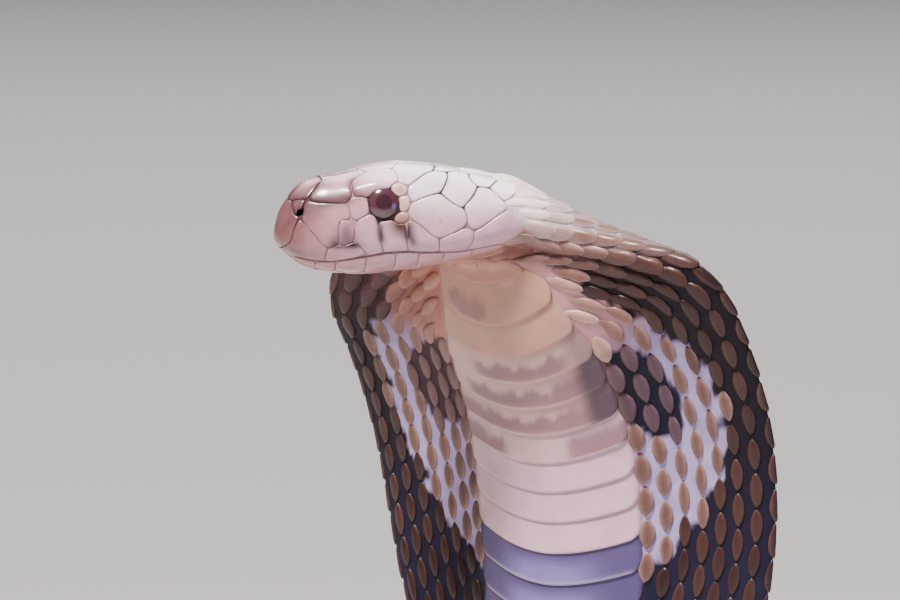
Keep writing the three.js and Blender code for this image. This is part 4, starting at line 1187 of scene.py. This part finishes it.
# the body's scales are cut into four pieces, each well under 200,000 triangles
cuts = [160, 460, 760, 1040, 1340]
for k in range(len(cuts) - 1):
    part = (scale_s >= cuts[k]) & (scale_s < cuts[k + 1])
    groups.append((f"body_scales_{k + 1}", part, LAPPED, body_tone))
for name, part, look, tone_at in groups:
    scale_piece(name, scale_s[part], scale_row[part], long[part], wide[part], tall[part], look, tone_at)

# Throat scales
# Behind the chin shields the throat is paved with small smooth scales, low and close, as far as
# the first belly plates.
GULAR_PITCH = 3.6
GULAR_WIDE = 1.9
GULAR_MOST = 11
GULAR_FRONT = 21
GULAR_LONG = 1.35
LIP_CLEAR = 4
gular_step = smooth_table([(-14, 0.24), (-4, 0.21), (0, 0.19), (4, 0.13), (8, 0.09), (14, 0.07)])
lip_lower_edge = smooth_table([(-4, 132), (1.6, 136), (7.4, 150), (12.8, 158), (20, 159), (24, 168)])


def gular_angle(s, row):
    """Rows of the throat are counted from its middle line, towards the animal's right."""
    return np.where(row < 0, 1, -1) * (math.pi - np.abs(row) * gular_step(s))


def gular_tone(s, angle, x, y):
    """Peach scales with a slightly paler rim."""
    d = neck_edge(angle) - s
    base = blend(colour("#b88474") + 0 * s[:, None], colour("#bd9088"), ease(d, 8, 18))
    edge = np.clip(np.abs(x) ** 3 * 0.6 + ease(y, 0.75, 1) * 0.5, 0, 1)
    rim = base * 1.12
    return base[:, None] * (1 - edge[None, :, None]) + rim[:, None] * edge[None, :, None]


gular_s, gular_row = [], []
for k, at in enumerate(np.arange(-11, 9.5, GULAR_PITCH / 2)):
    for row in np.arange(-GULAR_MOST + k % 2, GULAR_MOST + 1, 2):
        angle = abs(float(gular_angle(np.array(at), np.array(float(row)))))
        d = float(neck_edge(np.array(angle))) - at
        below_lip = float(lip_lower_edge(np.array(d))) + LIP_CLEAR
        behind = math.degrees(angle) > below_lip and d < GULAR_FRONT
        if behind and angle > float(strip_edge(np.array(at))) - 0.02:
            gular_s.append(at)
            gular_row.append(float(row))
gular_s, gular_row = np.array(gular_s), np.array(gular_row)
PAVED = {"grid": (5, ALONG), "at": ALONG, "half": [0.5, 0.7, 0.94, 1.0, 0.86, 0.55, 0.2],
         "front": -0.1, "lift": 0.16, "rise": 0.9, "dome": 0.1, "round": 0.07}
scale_piece("throat_scales", gular_s, gular_row, np.full(len(gular_s), GULAR_PITCH * GULAR_LONG),
            np.full(len(gular_s), GULAR_WIDE), np.ones(len(gular_s)), PAVED, gular_tone, gular_angle)

# Belly plates
# Broad smooth plates cross the belly one behind another, each lapping the next with a free rear
# edge. They are keratin sheets, peach at the throat, barred with dusk, then purple-brown.
BOW = 2.2
VENT = 1130.0
TAIL_STOP = 1329
LAP = 1.45
PLATE_FOOT = -0.3
tail_ends = [VENT]
while tail_ends[-1] < TAIL_STOP:
    tail_ends.append(tail_ends[-1] + float(pitch_at(tail_ends[-1])))
plate_ends = np.concatenate([np.arange(FIRST_PLATE - PITCH * 6, VENT - 3, PITCH), tail_ends])


def plate_tone(end, s, q, y):
    """The colour of a belly plate at a place: y runs from its hidden front to its free edge."""
    end = end + 0 * s
    # the first plates under the head are darker and browner: painted shadow of the head over a peach throat
    tone = blend(colour("#b5806d") + 0 * s[..., None], colour("#c49584"), ease(end, 14, 24))
    tone = blend(tone, colour("#d0aaa2"), ease(end, 26, 36))
    tone = blend(tone, colour("#dab8c6"), ease(end, 44, 60))
    ragged = 0.06 * np.sin(q * 1.1 + end) + 0.05 * np.sin(q * 2.3 + 2.3 * end) * np.sin(q * 0.37 + end)
    ragged = ragged + 0.04 * np.sin(q * 0.5 + 1.7 * end)
    barred = ease(y, 0.5 + ragged, 0.66 + ragged) * (1 - ease(y, 0.88, 0.96))
    # which part of the width each barred plate has its bar on, by plates ahead of the first below
    ahead = np.round((FIRST_PLATE - end) / PITCH)
    reach = (ahead == 3) * (1 - ease(np.abs(q - 1), 9, 12))
    reach = reach + (ahead == 2) * (1 - ease(np.abs(q - 1), 13, 16))
    reach = reach + (ahead == 1) * 1.0
    reach = reach + (ahead == 0) * ease(np.abs(q), 6, 9)
    reach = reach + (ahead == 5) * blob(q, y, -6, 0.75, 4.5, 0.2) * 0.8
    flank = ease(q, 4, 11) * ease(end, 34, 39) * (1 - ease(end, 52, 56))
    flank = flank + 0.7 * ease(-q, 9, 13) * ease(end, 41, 45) * (1 - ease(end, 52, 56))
    dusk = np.clip(barred * reach + 0.85 * flank * ease(y, 0.3, 0.55) * (1 - ease(y, 0.9, 0.97)), 0, 1)
    tone = blend(tone, colour("#86606a"), dusk * 0.85)
    night = ease(q, 10.5, 14) * ease(end, 31, 35) * (1 - ease(end, 47, 53))
    tone = blend(tone, colour("#33253a"), night * 0.85)
    band = ease(end, 73, 75)
    # painted reflection: each purple plate rises to a lighter lilac across its middle
    painted_sheen = ease(y, 0.35, 0.7) * ease(np.abs(q), 14, 4)
    purple = blend(colour("#564878") + 0 * tone, colour("#7f70b2"), painted_sheen)
    tone = blend(tone, purple, band)
    late = ease(end, 86, 132)
    tone = blend(tone, colour("#594539"), late)
    pale = ease(y, 0.88, 0.97)
    tone = blend(tone, colour("#b8a6cb"), pale * band * 0.6 * (1 - late))
    tone = blend(tone, colour("#9a8270"), pale * late * 0.5)
    # painted shade: the front of each plate, just behind the free edge of the one ahead, is darkened
    return blend(tone, tone * 0.8, (1 - ease(y, 0.28, 0.42)) * 0.8)


def belly_pieces(name, ends, across, along):
    """The belly plates that end at the given stations, as one piece."""
    x, y, quads, low, on_rim, count = plate_template(across, along)
    ends = np.asarray(ends)
    corner = np.where(y > 0.72, 1 - 0.1 * ((y - 0.72) / 0.28) ** 2.2, 1.0)
    q_share = x * corner
    front = ends - np.where(ends > VENT, pitch_at(ends), PITCH) * LAP
    at_s = front[:, None] + y[None] * (ends - front)[:, None] - BOW * (x**2)[None]
    at_s = np.maximum(at_s, 2.0)
    q = q_share[None] * strip_half(np.maximum(at_s, 0)) * 1.06
    angle = math.pi - np.arcsin(np.clip(q / half_width(np.maximum(at_s, 0)), -0.97, 0.97))
    height = -0.14 + 0.5 * y**1.3
    height[:count][on_rim & (y[:count] > 0.1)] -= 0.1
    height[count:] = PLATE_FOOT
    points = on_skin(at_s, angle, np.broadcast_to(height, at_s.shape))
    tone = plate_tone(ends[:, None], at_s, q, np.broadcast_to(y, at_s.shape))
    root = unwrap(ends - PITCH / 2, 0 * ends + math.pi)[:, None]
    spot = np.stack([x, y * 2 - 1], -1)[None] * PATCH_HALF
    start = (np.arange(len(ends)) * len(x))[:, None, None]
    faces = (quads[None] + start).reshape(-1, 4)[:, ::-1]
    under = low[None] + np.arange(len(ends))[:, None] * len(x)
    piece = new_piece(name, points.reshape(-1, 3), [faces, under], tone.reshape(-1, 3),
                      (root + spot).reshape(-1, 2))
    piece.data.materials.append(plate_keratin)
    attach(piece, "root")
    return piece


# thin smooth keratin sheets, satin with faint growth lines, so a wide even sheen
plate_keratin = scaly_material("plate_keratin", rough=0.42, fine_mm=0.8, relief_mm=0.03, mottle=0.08,
                               coat=0.2, shine=0.4)
# the plates of the hood carry the bars, so they have a finer grid
MARKED_TO = 120
FINE = [0, 0.3, 0.42, 0.52, 0.6, 0.7, 0.8, 0.9, 0.96, 1.0]
COARSE = [0, 0.4, 0.8, 1.0]
marked = plate_ends < MARKED_TO
behind_vent = plate_ends >= VENT
belly_pieces("hood_plates", plate_ends[marked], 41, FINE)
belly_pieces("body_plates", plate_ends[~marked & ~behind_vent], 13, COARSE)
belly_pieces("tail_plates", plate_ends[behind_vent], 9, COARSE)

# Floor
# A plain pale matt floor, far wider than the snake, is all that it lies on. It is not part of
# the object, and stands only for a studio's painted boards.
FLOOR = 14.0
bpy.ops.mesh.primitive_plane_add(size=FLOOR, location=(0, 0, 0))
floor = bpy.context.object
floor.name = "floor"
paint = bpy.data.materials.new("matt_floor_paint")
paint.use_nodes = True
shader = paint.node_tree.nodes["Principled BSDF"]
shader.inputs["Base Color"].default_value = (*colour("#d9d6d2"), 1)
shader.inputs["Roughness"].default_value = 0.9
floor.data.materials.append(paint)

# Light and camera
# Broad soft light from above the snake's face, a weaker cool one from its far side, and a
# camera level with the hood, a little above the head, as in the photograph.
CAMERA_TURN = math.radians(36)
CAMERA_RISE = math.radians(8)
CAMERA_FAR = 1.2
FRAME_WIDE = 0.16875
FRAME_SHIFT = (8.8125, 15.375)
SENSOR = 36
towards = np.array([math.sin(CAMERA_TURN) * math.cos(CAMERA_RISE),
                    -math.cos(CAMERA_TURN) * math.cos(CAMERA_RISE), math.sin(CAMERA_RISE)])
right = np.array([math.cos(CAMERA_TURN), math.sin(CAMERA_TURN), 0.0])
upward = np.cross(towards, right)
aim = (JOINT - right * FRAME_SHIFT[0] - upward * FRAME_SHIFT[1]) * 0.001
camera = bpy.data.objects.new("camera", bpy.data.cameras.new("camera"))
bpy.context.scene.collection.objects.link(camera)
camera.location = aim + towards * CAMERA_FAR
camera.rotation_euler = Vector(-towards).to_track_quat("-Z", "Y").to_euler()
camera.data.sensor_width = SENSOR
camera.data.lens = SENSOR * CAMERA_FAR / FRAME_WIDE
camera.data.clip_end = 60
bpy.context.scene.camera = camera


def lamp(name, turn, rise, far, size, power, code):
    """A soft square lamp aimed at the hood, placed by its bearing from the camera."""
    data = bpy.data.lights.new(name, "AREA")
    data.size = size
    data.energy = power
    data.color = colour(code)
    piece = bpy.data.objects.new(name, data)
    bpy.context.scene.collection.objects.link(piece)
    a, e = CAMERA_TURN + math.radians(turn), math.radians(rise)
    way = np.array([math.sin(a) * math.cos(e), -math.cos(a) * math.cos(e), math.sin(e)])
    piece.location = JOINT * 0.001 + way * far
    piece.rotation_euler = Vector(-way).to_track_quat("-Z", "Y").to_euler()


lamp("key", turn=-38, rise=60, far=1.0, size=0.22, power=32, code="#fff0ea")
lamp("fill", turn=52, rise=-6, far=1.2, size=0.5, power=3.3, code="#9e95ff")
lamp("rim", turn=140, rise=42, far=1.0, size=0.4, power=6, code="#e8ecff")
lamp("floor_wash", turn=180, rise=45, far=3.4, size=3.0, power=110, code="#ffffff")
world = bpy.data.worlds.new("studio")
world.use_nodes = True
world.node_tree.nodes["Background"].inputs["Color"].default_value = (*colour("#e9ecf2"), 1)
world.node_tree.nodes["Background"].inputs["Strength"].default_value = 0.07
bpy.context.scene.world = world
